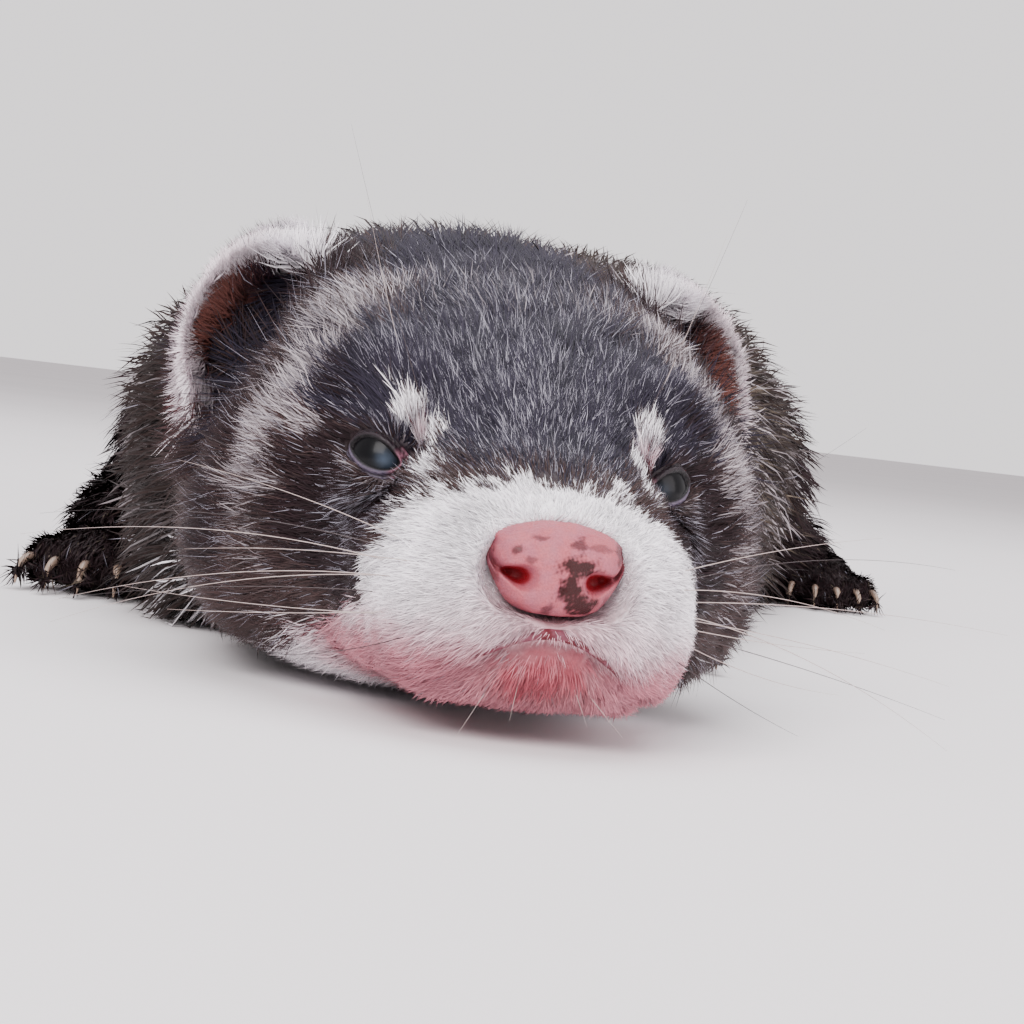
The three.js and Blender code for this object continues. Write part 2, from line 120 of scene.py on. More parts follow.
def blob(points, centre, reach):
    """1 at a centre, fading to 0 a few reaches away. The reach is one number or one for each axis."""
    return np.exp(-np.sum(((points - centre) / np.asarray(reach)) ** 2, axis=-1))


def ramp(values, start, end):
    """0 before start, 1 after end and a smooth step between."""
    share = np.clip((values - start) / (end - start), 0, 1)
    return share * share * (3 - 2 * share)


def mix(a, b, share):
    """a where the share is 0 and b where it is 1."""
    return a + (b - a) * share


def ripple(points, size, seed, waves=7):
    """Smooth noise from -1 to about 1, whose swells are about this size."""
    draw = np.random.default_rng(seed)
    turns = unit(draw.normal(size=(waves, 3))) * draw.uniform(0.7, 1.5, (waves, 1)) * 2 * math.pi / size
    starts = draw.uniform(0, 2 * math.pi, waves)
    return np.sin(points @ turns.T + starts).sum(axis=1) / math.sqrt(waves)


def link(name, mesh, material=None):
    """A new object with this mesh and material, in the scene."""
    piece = bpy.data.objects.new(name, mesh)
    bpy.context.scene.collection.objects.link(piece)
    if material:
        mesh.materials.append(material)
    return piece


def build_mesh(name, points, faces, smooth=True):
    """A mesh from points in the head's frame and faces given as arrays of 3 or 4 corners."""
    mesh = bpy.data.meshes.new(name)
    mesh.vertices.add(len(points))
    mesh.vertices.foreach_set("co", ((points + HEAD_ORIGIN) * MM).astype(np.float32).ravel())
    corners = np.concatenate([np.asarray(f, dtype=np.int32).ravel() for f in faces])
    totals = np.concatenate([np.full(len(f), np.shape(f)[1], dtype=np.int32) for f in faces])
    starts = np.concatenate([[0], np.cumsum(totals)[:-1]]).astype(np.int32)
    mesh.loops.add(len(corners))
    mesh.loops.foreach_set("vertex_index", corners)
    mesh.polygons.add(len(totals))
    mesh.polygons.foreach_set("loop_start", starts)
    mesh.polygons.foreach_set("use_smooth", np.full(len(totals), smooth))
    mesh.update(calc_edges=True)
    return mesh


def set_values(mesh, name, values):
    """Puts one number for each vertex into the mesh, for its material."""
    layer = mesh.attributes.new(name, "FLOAT", "POINT")
    layer.data.foreach_set("value", np.asarray(values, dtype=np.float32))


def mesh_points(mesh):
    """The mesh's vertices in the head's frame."""
    flat = np.empty(len(mesh.vertices) * 3, dtype=np.float32)
    mesh.vertices.foreach_get("co", flat)
    return flat.reshape(-1, 3).astype(float) / MM - HEAD_ORIGIN


def mesh_quads(mesh):
    """The mesh's faces, which all have four corners."""
    flat = np.empty(len(mesh.loops), dtype=np.int32)
    mesh.loops.foreach_get("vertex_index", flat)
    return flat.reshape(-1, 4)


class Surface:
    """A surface of quads in the head's frame, with what is smoothed over it."""

    def __init__(self, points, quads):
        self.points = points
        self.quads = quads
        sides = np.concatenate([quads[:, [i, (i + 1) % 4]] for i in range(4)])
        self.edges = np.unique(np.sort(sides, axis=1), axis=0)
        self.degree = np.maximum(np.bincount(self.edges.ravel(), minlength=len(points)), 1)[:, None]

    def gathered(self, indices, values):
        """Values given for each index, summed for each vertex."""
        count = len(self.points)
        columns = [np.bincount(indices, values[:, k], count) for k in range(values.shape[1])]
        return np.stack(columns, axis=1)

    def spread(self, values, rounds, share=0.5):
        """The values, moved towards their neighbours' mean this many times."""
        a, b = self.edges.T
        for _ in range(rounds):
            mean = (self.gathered(a, values[b]) + self.gathered(b, values[a])) / self.degree
            values = mix(values, mean, share)
        return values

    def relax(self, rounds):
        """Smooths the shape and keeps its size."""
        for _ in range(rounds):
            self.points = self.spread(self.spread(self.points, 1, 0.5), 1, -0.53)

    def normals(self, rounds=0):
        """The outward direction at each vertex."""
        p, q = self.points, self.quads
        turned = np.cross(p[q[:, 2]] - p[q[:, 0]], p[q[:, 3]] - p[q[:, 1]])
        total = sum(self.gathered(q[:, i], turned) for i in range(4))
        return unit(self.spread(unit(total), rounds))


def fused_flesh(growth, voxel):
    """The nodes of flesh as one mesh of quads: each is grown until they meet, then all are fused."""
    whole = bmesh.new()
    for name in FLESH:
        part = bmesh.new()
        part.from_mesh(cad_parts[name].data)
        bmesh.ops.remove_doubles(part, verts=part.verts, dist=1e-6)
        part.normal_update()
        for vertex in part.verts:
            vertex.co += vertex.normal * growth * MM
        mesh = bpy.data.meshes.new(name)
        part.to_mesh(mesh)
        whole.from_mesh(mesh)
        part.free()
        bpy.data.meshes.remove(mesh)
    flesh = bpy.data.meshes.new("flesh")
    whole.to_mesh(flesh)
    whole.free()
    source = link("flesh", flesh)
    fuse = source.modifiers.new("fuse", "REMESH")
    fuse.mode = "VOXEL"
    fuse.voxel_size = voxel * MM
    drawn = bpy.context.evaluated_depsgraph_get()
    fused = bpy.data.meshes.new_from_object(source.evaluated_get(drawn))
    surface = Surface(mesh_points(fused), mesh_quads(fused))
    bpy.data.meshes.remove(fused)
    bpy.data.objects.remove(source)
    bpy.data.meshes.remove(flesh)
    return surface


def node_owners(points):
    """For each point, the number of the nearest node of flesh in FLESH."""
    samples = []
    for number, name in enumerate(FLESH):
        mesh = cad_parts[name].data
        samples += [(face.center, number) for face in mesh.polygons]
        samples += [(vertex.co, number) for vertex in mesh.vertices]
    tree = KDTree(len(samples))
    for place, number in samples:
        tree.insert(place, number)
    tree.balance()
    world = (points + HEAD_ORIGIN) * MM
    return np.array([tree.find(place)[1] for place in world.tolist()])


# The edge of the white muzzle: how far back it reaches at each height.
MUZZLE_EDGE = {
    "height": (-30, -20, -17, -15, -13, -11.5, -7, -4, -2.5, -1, 0.5, 3),
    "back": (40, 22, 9, 2, -5, -9.5, -11, -11.2, -12.3, -12.8, -15.5, -22),
}
# Spots of colour, each with its centre and its reach along the three axes.
BROW_PATCHES = [
    ((9.7, -3.0, 2.4), (1.9, 2.4, 2.0)), ((8.2, -6.8, 0.8), (1.6, 2.6, 1.6)),
    ((10.6, -1.2, 4.8), (1.2, 1.7, 1.3)), ((8.4, -9.5, -1.2), (1.8, 2.4, 1.3)),
    ((9.2, -4.4, 0.6), (1.4, 2.1, 2.2)), ((8.8, -2.8, -1.4), (1.1, 1.7, 1.4)),
]
CHEEK = ((15.5, 0, -16), (6.5, 8, 2.8))
CHIN = ((0, -18.8, -15.4), (5.8, 5.0, 3.2))
LIP = ((0, -19, -12.6), (7.5, 4.6, 3.0))
EYE_CORNER = ((9.4, -4.5, 0.3), (1.1, 1.7, 2.3))
CROWN_NOTCH = ((11.5, 13, 10), (4.5, 9, 4.5))
EAR_FRONT = (EAR_CENTRE + np.array([1.9, -4, -0.7]), (7.4, 6.5, 7.2))
# Spots with a strength too: the mask under and over the eye, and where single pale hairs stand.
MASK_SPOTS = [
    ((14.5, 0.2, -4.2), (5.0, 7.2, 6.4), 1.0), ((13.6, -5.2, -7.6), (4.4, 6.4, 4.8), 1.0),
    ((14.5, 3.2, 4.4), (3.0, 5.0, 2.8), 0.5), ((11.2, -8.2, -4.6), (2.8, 3.4, 2.8), 0.9),
]
TICKED_SPOTS = [
    ((0, -6, 4), (9.5, 10, 6), 0.26), ((0, 8, 12), (14, 9, 7), 0.1), ((12.5, -5.5, -5), (3.5, 4.5, 4), 0.24),
]
# The frosted band from the brow to the cheek, and the paler line before the ear.
FROST_LINE = [(12.6, 12, 11.9), (15.2, 8.4, 8.3), (17.8, 5.4, 3.3), (19.3, 4.8, -2.6), (19.8, 4.2, -8)]
FROST_REACH = 3.9
TEMPLE_LINE = [
    (13.5, 24, 14.8), (16.8, 21, 12.4), (20, 15, 8.6), (22.4, 10.5, 3), (23.4, 9.5, -3), (23.5, 10, -8),
]
TEMPLE_FROST_REACH = 2.8
TEMPLE_DARK_REACH = 5.5
BROW_BAND = {"back": 11, "lean": 0.14, "reach": 5.5, "strength": 0.14}

# The mouth's line, from the middle under the nose to the corner.
MOUTH = [
    (0, -20.3, -12.7), (3.2, -19.9, -13.9), (6.2, -17.6, -16.4), (9.2, -13.4, -17.9),
    (11.6, -8, -18.2), (13.4, -2.6, -17.4),
]


def line_distance(points, line):
    """How far each point is from a line through these places, and how far along the nearest place is."""
    line = np.asarray(line, dtype=float)
    lengths = np.linalg.norm(np.diff(line, axis=0), axis=1)
    starts = np.concatenate([[0], np.cumsum(lengths)])
    best = np.full(len(points), 1e9)
    along = np.zeros(len(points))
    for start, end, length, before in zip(line[:-1], line[1:], lengths, starts):
        share = np.clip((points - start) @ (end - start) / length**2, 0, 1)
        away = np.linalg.norm(points - start - share[:, None] * (end - start), axis=1)
        nearer = away < best
        best = np.where(nearer, away, best)
        along = np.where(nearer, before + share * length, along)
    return best, along


def left_side(points):
    """The points, with those on the right of the head mirrored to its left."""
    return np.concatenate([np.abs(points[:, :1]), points[:, 1:]], axis=1)


def whole_mouth():
    """The mouth's line from corner to corner."""
    return np.concatenate([mirrored(MOUTH, -1)[::-1], mirrored(MOUTH, 1)[1:]])


def mouth_distance(points):
    """How far each point is from the line of the mouth."""
    return line_distance(points, whole_mouth())[0]


def from_nose(points):
    """How far points of the head are from the nose."""
    return np.linalg.norm(points - NOSE_CENTRE, axis=1)


def white_mark(place, jagged):
    """The white muzzle, the patches over the eyes and the pale cheek."""
    edge = np.interp(place[:, 2], MUZZLE_EDGE["height"], MUZZLE_EDGE["back"])
    white = ramp(edge - place[:, 1] + jagged, -1.1, 1.1)
    for spot in BROW_PATCHES:
        white = np.maximum(white, ramp(blob(place, *spot) + 0.12 * jagged, 0.3, 0.85) * 0.78)
    return np.maximum(white, ramp(blob(place, *CHEEK) + 0.1 * jagged, 0.3, 0.9) * 0.75)


def frost_mark(points, place, temple_away, jagged):
    """The frosted band from brow to cheek, the temples, the brow and the pale hairs under the eye."""
    streaks = ramp(ripple(points * (1, 0.45, 1), 2.2, 14), -0.9, 0.7)
    away, _ = line_distance(place, FROST_LINE)
    frost = ramp(FROST_REACH - away + 0.7 * jagged, -1.6, 1.9) * (0.4 + 0.36 * streaks)
    frost *= 1 - 0.5 * ramp(-place[:, 2], 3, 8)
    from_band = np.abs(place[:, 1] - BROW_BAND["back"] - BROW_BAND["lean"] * place[:, 0])
    band = ramp(BROW_BAND["reach"] - from_band, -2, 3) * ramp(place[:, 2], 5, 9)
    frost = np.maximum(frost, band * BROW_BAND["strength"])
    temple = ramp(TEMPLE_FROST_REACH - temple_away + 0.4 * jagged, -1.2, 1.6)
    frost = np.maximum(frost, temple * (0.1 + 0.5 * streaks))
    lid_away, _ = eye_distance(place, 1)
    below = ramp((EYE_CENTRE - place) @ eye_axes(1)["tall"], 0.1, 1.1)
    return np.maximum(frost, 0.55 * below * np.exp(-(((lid_away - 0.7) / 0.4) ** 2)))


def mask_mark(place, before_ear, jagged):
    """The dark mask round the eye and before the ear."""
    mask = np.zeros(len(place))
    for centre, reach, strength in MASK_SPOTS:
        mask = np.maximum(mask, strength * ramp(blob(place, centre, reach) + 0.06 * jagged, 0.22, 0.6))
    return np.maximum(mask, 0.9 * before_ear)


def pink_mark(points, place, white, jagged):
    """Where skin shines through: chin, lips, the low muzzle, the inner corner of the eye and the mouth."""
    chin = ramp(blob(place, *CHIN) * (1 + 0.15 * jagged), 0.02, 0.8)
    low_muzzle = ramp(-place[:, 2] + 0.35 * jagged, 9.8, 15) * ramp(6 - place[:, 1], 0, 8)
    in_white = np.maximum(0.22 * blob(place, *CHEEK), 0.85 * low_muzzle) * ramp(white, 0.1, 0.7)
    corner = 0.3 * ramp(blob(place, *EYE_CORNER), 0.25, 0.8)
    mouth = np.exp(-((mouth_distance(points) / 1.1) ** 2))
    return np.maximum.reduce([chin, 0.75 * blob(place, *LIP), in_white, corner, mouth])


def crown_mark(place, white, before_ear):
    """The blue-grey forehead and crown, which fade out on the neck and before the ears."""
    brow = ramp(place[:, 2] + 0.12 * place[:, 1] - 0.3 * np.maximum(place[:, 0] - 5, 0), -5, 0.5)
    top = ramp(place[:, 2] + 0.25 * place[:, 1], 8, 15)
    crown = np.maximum(brow, top) * (1 - white)
    crown *= 1 - 0.6 * blob(place, *CROWN_NOTCH)
    return crown * ((1 - 0.9 * before_ear) * ramp(46 - place[:, 1], 0, 18))


def tick_mark(place, white):
    """The share of single pale hairs."""
    tick = 0.01 + 0.06 * ramp(34 - place[:, 1], 0, 20)
    for centre, reach, strength in TICKED_SPOTS:
        tick += strength * blob(place, centre, reach)
    return tick * (1 - 0.85 * ramp(white, 0.4, 0.9))


def head_marks(points):
    """The markings of the head, each from 0 to 1."""
    place = left_side(points)
    jagged = ripple(points, 1.6, 11) * 0.8 + ripple(points, 4.5, 12) * 0.9
    temple_away, _ = line_distance(place, TEMPLE_LINE)
    before_ear = ramp(TEMPLE_DARK_REACH - temple_away + 0.4 * jagged, -1.5, 1.5)
    white = white_mark(place, jagged)
    frost = frost_mark(points, place, temple_away, jagged)
    mask = mask_mark(place, before_ear, jagged) * (1 - np.clip(frost * 1.1, 0, 1))
    nape = 0.15 * ramp(place[:, 1], 18, 34) * ramp(-place[:, 2], -4, 10)
    return {
        "white": white, "frost": np.maximum(frost, nape), "mask": mask,
        "pink": pink_mark(points, place, white, jagged), "crown": crown_mark(place, white, before_ear),
        "tick": tick_mark(place, white), "under": 0.0,
    }


def body_marks(points, on_limb):
    """The markings behind the head: a pale throat, flanks frosted over a woolly coat, and dark limbs."""
    place = left_side(points)
    throat = ramp(-place[:, 2] - 6, 0, 9) * ramp(70 - place[:, 1], 0, 25) * 0.3
    flanks = (0.12 + 0.15 * ripple(points, 14, 13)) * ramp(place[:, 1], 30, 90)
    woolly = 0.03 + 0.7 * ramp(place[:, 1], 55, 120)
    return {
        "white": np.where(on_limb, 0, throat), "frost": np.where(on_limb, 0, flanks),
        "mask": np.where(on_limb, 0.95, 0), "pink": 0.0, "crown": 0.0, "tick": 0.012,
        "under": np.where(on_limb, 0.12, woolly),
    }


def ear_marks(points, normals, on_ear, marks):
    """Changes the markings on the ears: white rims, and dark cups with rust at the outer side."""
    place = left_side(points)
    outwards = np.concatenate([normals[:, :1] * np.sign(points[:, :1] + 1e-9), normals[:, 1:]], axis=1)
    look = unit(EAR_LOOK)
    offset = (place - EAR_CENTRE) / (1 - SIDE_SHARE, 1, 1)
    radius = np.linalg.norm(offset - (offset @ look)[:, None] * look, axis=1)
    facing = outwards @ look
    cup = ramp(facing, 0.0, 0.5) * ramp(7.2 - radius, -0.6, 1.0)
    before = ramp(blob(place, *EAR_FRONT), 0.45, 0.7) * ramp(radius, 9.5, 7.5)
    hollow = np.where(on_ear, cup, before)
    rim = np.where(on_ear, ramp(radius + 2.5 * facing, 5.6, 7.6) * (1 - cup), 0)
    rim *= ramp(offset[:, 0], -7, -3) * (0.45 + 0.55 * ramp(offset[:, 2], -8, -1))
    outer_side = ramp(offset[:, 0] - 0.3 * offset[:, 2], -2.5, 5)
    chin = 0.3 * ramp(blob(place, *CHIN), 0.2, 0.9)
    marks["white"] = np.where(on_ear, rim, marks["white"] * (1 - hollow))
    marks["frost"] = np.where(on_ear, 0.1 * rim, marks["frost"] * (1 - hollow))
    marks["mask"] = np.maximum(marks["mask"] * ~on_ear, hollow)
    marks["crown"] = np.where(on_ear, 0.25 * (1 - rim), marks["crown"]) * (1 - hollow)
    marks["pink"] = np.where(on_ear, 0.2 * rim * ramp(offset[:, 0], -2, 5), marks["pink"])
    marks["rust"] = np.where(on_ear | (hollow > 0), hollow * outer_side, chin)
    marks["hollow"] = hollow


def markings(points, normals, parts):
    """The coat's markings at these places, each from 0 to 1. parts are the numbers of the nodes there."""
    plain = PLAIN[parts]
    on_ear = plain == "ear"
    on_head = (plain == "head") | on_ear
    of_head = head_marks(points)
    of_body = body_marks(points, np.isin(plain, LIMBS))
    marks = {key: np.clip(np.where(on_head, of_head[key], of_body[key]), 0, 1) for key in of_head}
    ear_marks(points, normals, on_ear, marks)
    return marks


# The skin: the voxels that fuse the nodes, how far the nodes grow to meet, and what is pressed in.
SKIN_VOXEL = 0.75
GAP_GROWTH = 0.35
UNDERSIDE_DEPTH = 1.2
SIDE_START = 14
SIDE_SHARE = 0.16
SOCKET_REACH = 5.2
SOCKET_ROUNDS = 1500
SOCKET_PRESS = {"below_ball": 0.55, "start": 0.25, "slope": 1.6, "reach": 2.2}
EYE_BARENESS = 0.45
EYE_PARTING = {"start": 2.5, "reach": 3.2, "inward": 1.5, "always": 0.25}
MOUTH_CREASE = {"depth": 1.3, "reach": 0.9}
MOUTH_LIPS = {"height": 0.3, "beside": 1.9, "reach": 0.9}

# How the head's coat changes with the distance from the nose: depth, length and width of a tuft, and
# how many grow on a square millimetre.
COAT_FIELDS = ("depth", "length", "width", "density")
HEAD_COAT = {
    "from_nose": (5, 11, 18, 26, 38, 50, 66),
    "depth": (0.3, 0.5, 0.75, 1.2, 2.1, 3.0, 3.8),
    "length": (1.3, 2.3, 3.4, 4.9, 7.4, 9.0, 11.5),
    "width": (0.075, 0.085, 0.095, 0.11, 0.13, 0.15, 0.19),
    "density": (34, 34, 26, 17, 9, 7, 5),
}
# The same four for the other nodes.
NODE_COAT = {
    "ear": (0.35, 2.1, 0.16, 20), "neck": (4.4, 13, 0.27, 4), "chest": (5.6, 17, 0.31, 3),
    "belly": (6.4, 19, 0.33, 2.6), "rump": (6.4, 19, 0.33, 2.6), "tail_base": (4.6, 19, 0.33, 4),
    "tail_tip": (1.6, 16, 0.3, 6), "foreleg": (1.8, 6.5, 0.22, 6), "hindleg": (2.4, 8, 0.25, 5),
    "forepaw": (0.6, 3.0, 0.18, 12), "hindpaw": (0.6, 3.0, 0.18, 12),
}
# The tail's coat thins from its root to its end: depths, and where they hold before the end.
TAIL_DEPTH = {"before_end": (100, 4), "depth": (4.6, 1.4)}


def coat_fields(points, parts):
    """Depth, length, width and density of the coat at each point."""
    table = np.array([NODE_COAT.get(name, (0, 0, 0, 0)) for name in PLAIN], dtype=float)
    fields = table[parts]
    along = line_distance(points, SPINE)[1]
    stations = [SPINE_LENGTH - before for before in TAIL_DEPTH["before_end"]]
    on_tail = np.isin(PLAIN[parts], TAIL)
    fields[:, 0] = np.where(on_tail, np.interp(along, stations, TAIL_DEPTH["depth"]), fields[:, 0])
    on_head = PLAIN[parts] == "head"
    away = from_nose(points)
    for column, key in enumerate(COAT_FIELDS):
        by_distance = np.interp(away, HEAD_COAT["from_nose"], HEAD_COAT[key])
        fields[:, column] = np.where(on_head, by_distance, fields[:, column])
    return fields


def spine_flow(points):
    """The direction of the middle line next to each point."""
    best = np.full(len(points), 1e9)
    flow = np.zeros_like(points)
    for start, end in zip(SPINE[:-1], SPINE[1:]):
        run = end - start
        share = np.clip((points - start) @ run / (run @ run), 0, 1)
        away = np.linalg.norm(points - start - share[:, None] * run, axis=1)
        flow = np.where((away < best)[:, None], unit(run), flow)
        best = np.minimum(best, away)
    return flow


def body_lie(points, parts):
    """The way that the coat lies before it is smoothed: from the nose, along the body, down the legs."""
    node, plain = np.array(FLESH)[parts][:, None], PLAIN[parts][:, None]
    flow = spine_flow(points)
    backwards = ramp(from_nose(points), 34, 62)[:, None]
    head = mix(unit(points - SNOUT), np.array([0, 1, -0.12]), backwards * 0.6)
    lie = np.where(plain == "head", head, flow + np.array([0, 0, -0.35]))
    lie = np.where(np.isin(plain, TAIL), flow, lie)
    low = ramp(-points[:, 2], -8, 14)[:, None]
    for side, hand in SIDES.items():
        look = unit(mirrored(EAR_LOOK, hand))
        offset = points - mirrored(EAR_CENTRE, hand)
        outwards = offset - (offset @ look)[:, None] * look
        lie = np.where(node == f"ear_{side}", unit(outwards), lie)
        for leg, paw in (("foreleg", "forepaw"), ("hindleg", "hindpaw")):
            to_paw = unit(node_middle(f"{paw}_{side}") - HEAD_ORIGIN - points)
            lie = np.where(node == f"{leg}_{side}", mix(np.array([0, 0.6, -1.0]), to_paw, low), lie)
            lie = np.where(node == f"{paw}_{side}", paw_frame(paw, hand)["ahead"], lie)
    return lie


def coat_lie(surface, parts):
    """The way that the coat lies at each vertex, smoothed along the skin and parted round the eyes."""
    points, normals = surface.points, surface.normals(5)
    lie = across(surface.spread(across(body_lie(points, parts), normals), 14), normals)
    for hand in SIDES.values():
        gaze = unit(mirrored(GAZE, hand))
        offset = points - mirrored(EYE_CENTRE, hand)
        height = offset @ gaze
        out = offset - height[:, None] * gaze
        away = np.linalg.norm(out, axis=1)
        beyond = np.maximum(away - EYE_PARTING["start"], 0)
        near = np.exp(-(beyond / EYE_PARTING["reach"]) ** 2) * (height > 0)
        out = across(out, normals)
        inward = np.maximum(0, -np.sum(lie * out, axis=1))
        turn = near * (EYE_PARTING["inward"] * inward + EYE_PARTING["always"])
        lie = across(lie + out * turn[:, None], normals)
    return lie


def make_surface():
    """The skin's shape: the fused flesh, smoothed and drawn in by the depth of the coat."""
    surface = fused_flesh(GAP_GROWTH, SKIN_VOXEL)
    surface.relax(9)
    fill_sockets(surface)
    parts = node_owners(surface.points)
    draw_in_sides(surface)
    normals = surface.normals(2)
    fields = surface.spread(coat_fields(surface.points, parts), 24)
    under = ramp(FLOOR + 9 - surface.points[:, 2], 0, 6) * ramp(-normals[:, 2], 0.2, 0.8)
    depth = mix(fields[:, 0], np.minimum(fields[:, 0], UNDERSIDE_DEPTH), under)
    depth *= 1 - EYE_BARENESS * eye_closeness(surface.points)
    fields[:, 0] = depth
    surface.points = surface.points - normals * (depth + GAP_GROWTH)[:, None]
    surface.relax(4)
    sculpt_mouth(surface)
    press_sockets(surface)
    lie = coat_lie(surface, parts)
    return {"surface": surface, "parts": parts, "normals": surface.normals(1), "fields": fields, "lie": lie}


def fill_sockets(surface):
    """Bridges the sockets of the frame's head with a smooth film, on which the lids then lie."""
    for hand in SIDES.values():
        gaze = eye_axes(hand)["gaze"]
        offset = surface.points - mirrored(EYE_CENTRE, hand)
        height = offset @ gaze
        away = np.linalg.norm(offset - height[:, None] * gaze, axis=1)
        free = (away < SOCKET_REACH) & (height > -2 * EYE_RADIUS)
        pairs = np.concatenate([surface.edges, surface.edges[:, ::-1]])
        pairs = pairs[free[pairs[:, 0]]]
        index = (np.cumsum(free) - 1)[pairs[:, 0]]
        degree = np.bincount(index)[:, None]
        for _ in range(SOCKET_ROUNDS):
            beside = surface.points[pairs[:, 1]]
            total = np.stack([np.bincount(index, beside[:, k]) for k in range(3)], axis=1)
            surface.points[free] = mix(surface.points[free], total / degree, 0.7)


def press_sockets(surface):
    """Presses the film below the eyeballs where the lids are open."""
    for hand in SIDES.values():
        gaze = eye_axes(hand)["gaze"]
        away, height = eye_distance(surface.points, hand)
        offset = surface.points - mirrored(EYE_CENTRE, hand)
        aside = np.linalg.norm(offset - height[:, None] * gaze, axis=1)
        ball = np.sqrt(np.maximum(EYE_RADIUS**2 - aside**2, 0.5))
        slope = SOCKET_PRESS["slope"] * np.maximum(away - SOCKET_PRESS["start"], 0)
        limit = ball - SOCKET_PRESS["below_ball"] + slope
        drop = np.where(away < SOCKET_PRESS["reach"], np.maximum(height - limit, 0), 0)
        surface.points -= gaze * drop[:, None]


def draw_in_sides(surface):
    """Presses the cheeks and ears flatter to the head."""
    points = surface.points
    beyond = np.maximum(np.abs(points[:, 0]) - SIDE_START, 0)
    share = SIDE_SHARE * ramp(points[:, 1], 62, 40) * ramp(from_nose(points), 10, 18)
    points[:, 0] -= np.sign(points[:, 0]) * beyond * share


def sculpt_mouth(surface):
    """Presses the crease of the mouth into the skin and rounds the lips beside it."""
    normals = surface.normals(2)
    away = mouth_distance(surface.points)
    crease = MOUTH_CREASE["depth"] * np.exp(-(away / MOUTH_CREASE["reach"]) ** 2)
    lips = MOUTH_LIPS["height"] * np.exp(-((away - MOUTH_LIPS["beside"]) / MOUTH_LIPS["reach"]) ** 2)
    surface.points = surface.points - normals * (crease - lips)[:, None]


# Tufts: each one's patch on the unwrap, the shares along it where its rows of points lie, the sizes of
# the waves that sway it, its habit, which a piece may change, and where the coat is bare or thin.
PATCH = 0.0028
UNWRAP_MARGIN = 0.004
ROW_SHARES = {2: (0.0, 0.55, 1.0), 3: (0.0, 0.4, 0.75, 1.0)}
WAVE_SIZES = (3.2, 3.7, 9.0)
TUFT_HABIT = {"lift": 1.0, "roll": 0.5, "clump": 0.3, "stray": 0.16, "curl": 0.1, "wide": 1.0}
ROOT_SINK = 0.12
FLOOR_GAP = 0.15
TAIL_OVERHANG = 5
SHORTEST_ON_TAIL = 6
CELL_PRIMES = np.array([73856093, 19349663, 83492791])
LID_BARE_WIDTH = 0.4
PAD_BARE_SHARE = 0.9
MOUTH_BARE_WIDTH = {"corner": 0.45, "middle": 0.6}
THINNED = {"chin": 0.86, "eye_corner": 0.75, "underside": 0.75}
MARKS_APART = ("white", "frost", "crown", "mask", "under")


def skin_unwrap(points, kind):
    """Each point's place on an unwrap of the skin's own shape, filling the whole square."""
    if kind == "round":
        way = unit(points - SKULL_CENTRE)
        flat = np.stack([np.arctan2(way[:, 0], -way[:, 1]), np.arcsin(np.clip(way[:, 2], -1, 1))], axis=1)
    else:
        along = line_distance(points, SPINE)[1]
        middle = np.stack([np.interp(points[:, 1], SPINE[:, 1], SPINE[:, k]) for k in (0, 2)], axis=1)
        turn = np.arctan2(points[:, 2] - middle[:, 1], points[:, 0] - middle[:, 0])
        flat = np.stack([np.mod(turn + math.pi / 2, 2 * math.pi), along], axis=1)
    low, high = flat.min(axis=0), flat.max(axis=0)
    room = 1 - 2 * UNWRAP_MARGIN - PATCH
    return UNWRAP_MARGIN + (flat - low) / np.maximum(high - low, 1e-6) * room


def scatter(skin, quads, weight, count, seed):
    """Even places on these quads, more where the weight is high: a function that reads any value there."""
    corners = skin["surface"].points[quads]
    area = np.linalg.norm(np.cross(corners[:, 2] - corners[:, 0], corners[:, 3] - corners[:, 1]), axis=1)
    total = np.cumsum(area * weight[quads].mean(axis=1))
    draw = np.random.default_rng(seed)
    picks = np.searchsorted(total, (np.arange(count) + draw.random(count)) / count * total[-1])
    picked = quads[np.minimum(picks, len(quads) - 1)]
    u, v = draw.random((2, count))
    shares = np.stack([(1 - u) * (1 - v), u * (1 - v), u * v, (1 - u) * v], axis=1)

    def read(values):
        if values.ndim == 1:
            return np.sum(values[picked] * shares, axis=1)
        return np.sum(values[picked] * shares[:, :, None], axis=1)

    return read, skin["parts"][picked[:, 0]]


def eye_closeness(points):
    """1 at the rims of the lids and 0 a few millimetres away."""
    near = np.zeros(len(points))
    for hand in SIDES.values():
        away, _ = eye_distance(points, hand)
        near = np.maximum(near, np.exp(-((np.maximum(away - 1, 0)) / 1.6) ** 2))
    return near


def hidden_places(points):
    """Where no tuft grows: between the lids, under the nose pad and in the line of the mouth."""
    hidden = np.zeros(len(points), dtype=bool)
    for hand in SIDES.values():
        hidden |= eye_distance(points, hand)[0] < LID_BARE_WIDTH
    hidden |= pad_share(points) < PAD_BARE_SHARE
    middle = MOUTH_BARE_WIDTH["middle"] * ramp(np.abs(points[:, 0]), 7, 2)
    return hidden | (mouth_distance(points) < MOUTH_BARE_WIDTH["corner"] + middle)


def coat_share(points, normals):
    """How full the coat is, from 0 to 1: thin on the chin, at the eyes' corners and under the belly."""
    place = left_side(points)
    chin = 1 - THINNED["chin"] * blob(place, *CHIN)
    corner = 1 - THINNED["eye_corner"] * blob(place, *EYE_CORNER)
    under = ramp(FLOOR + 5 - points[:, 2], 0, 3) * ramp(-normals[:, 2], 0.3, 0.9)
    return chin * corner * (1 - THINNED["underside"] * under)


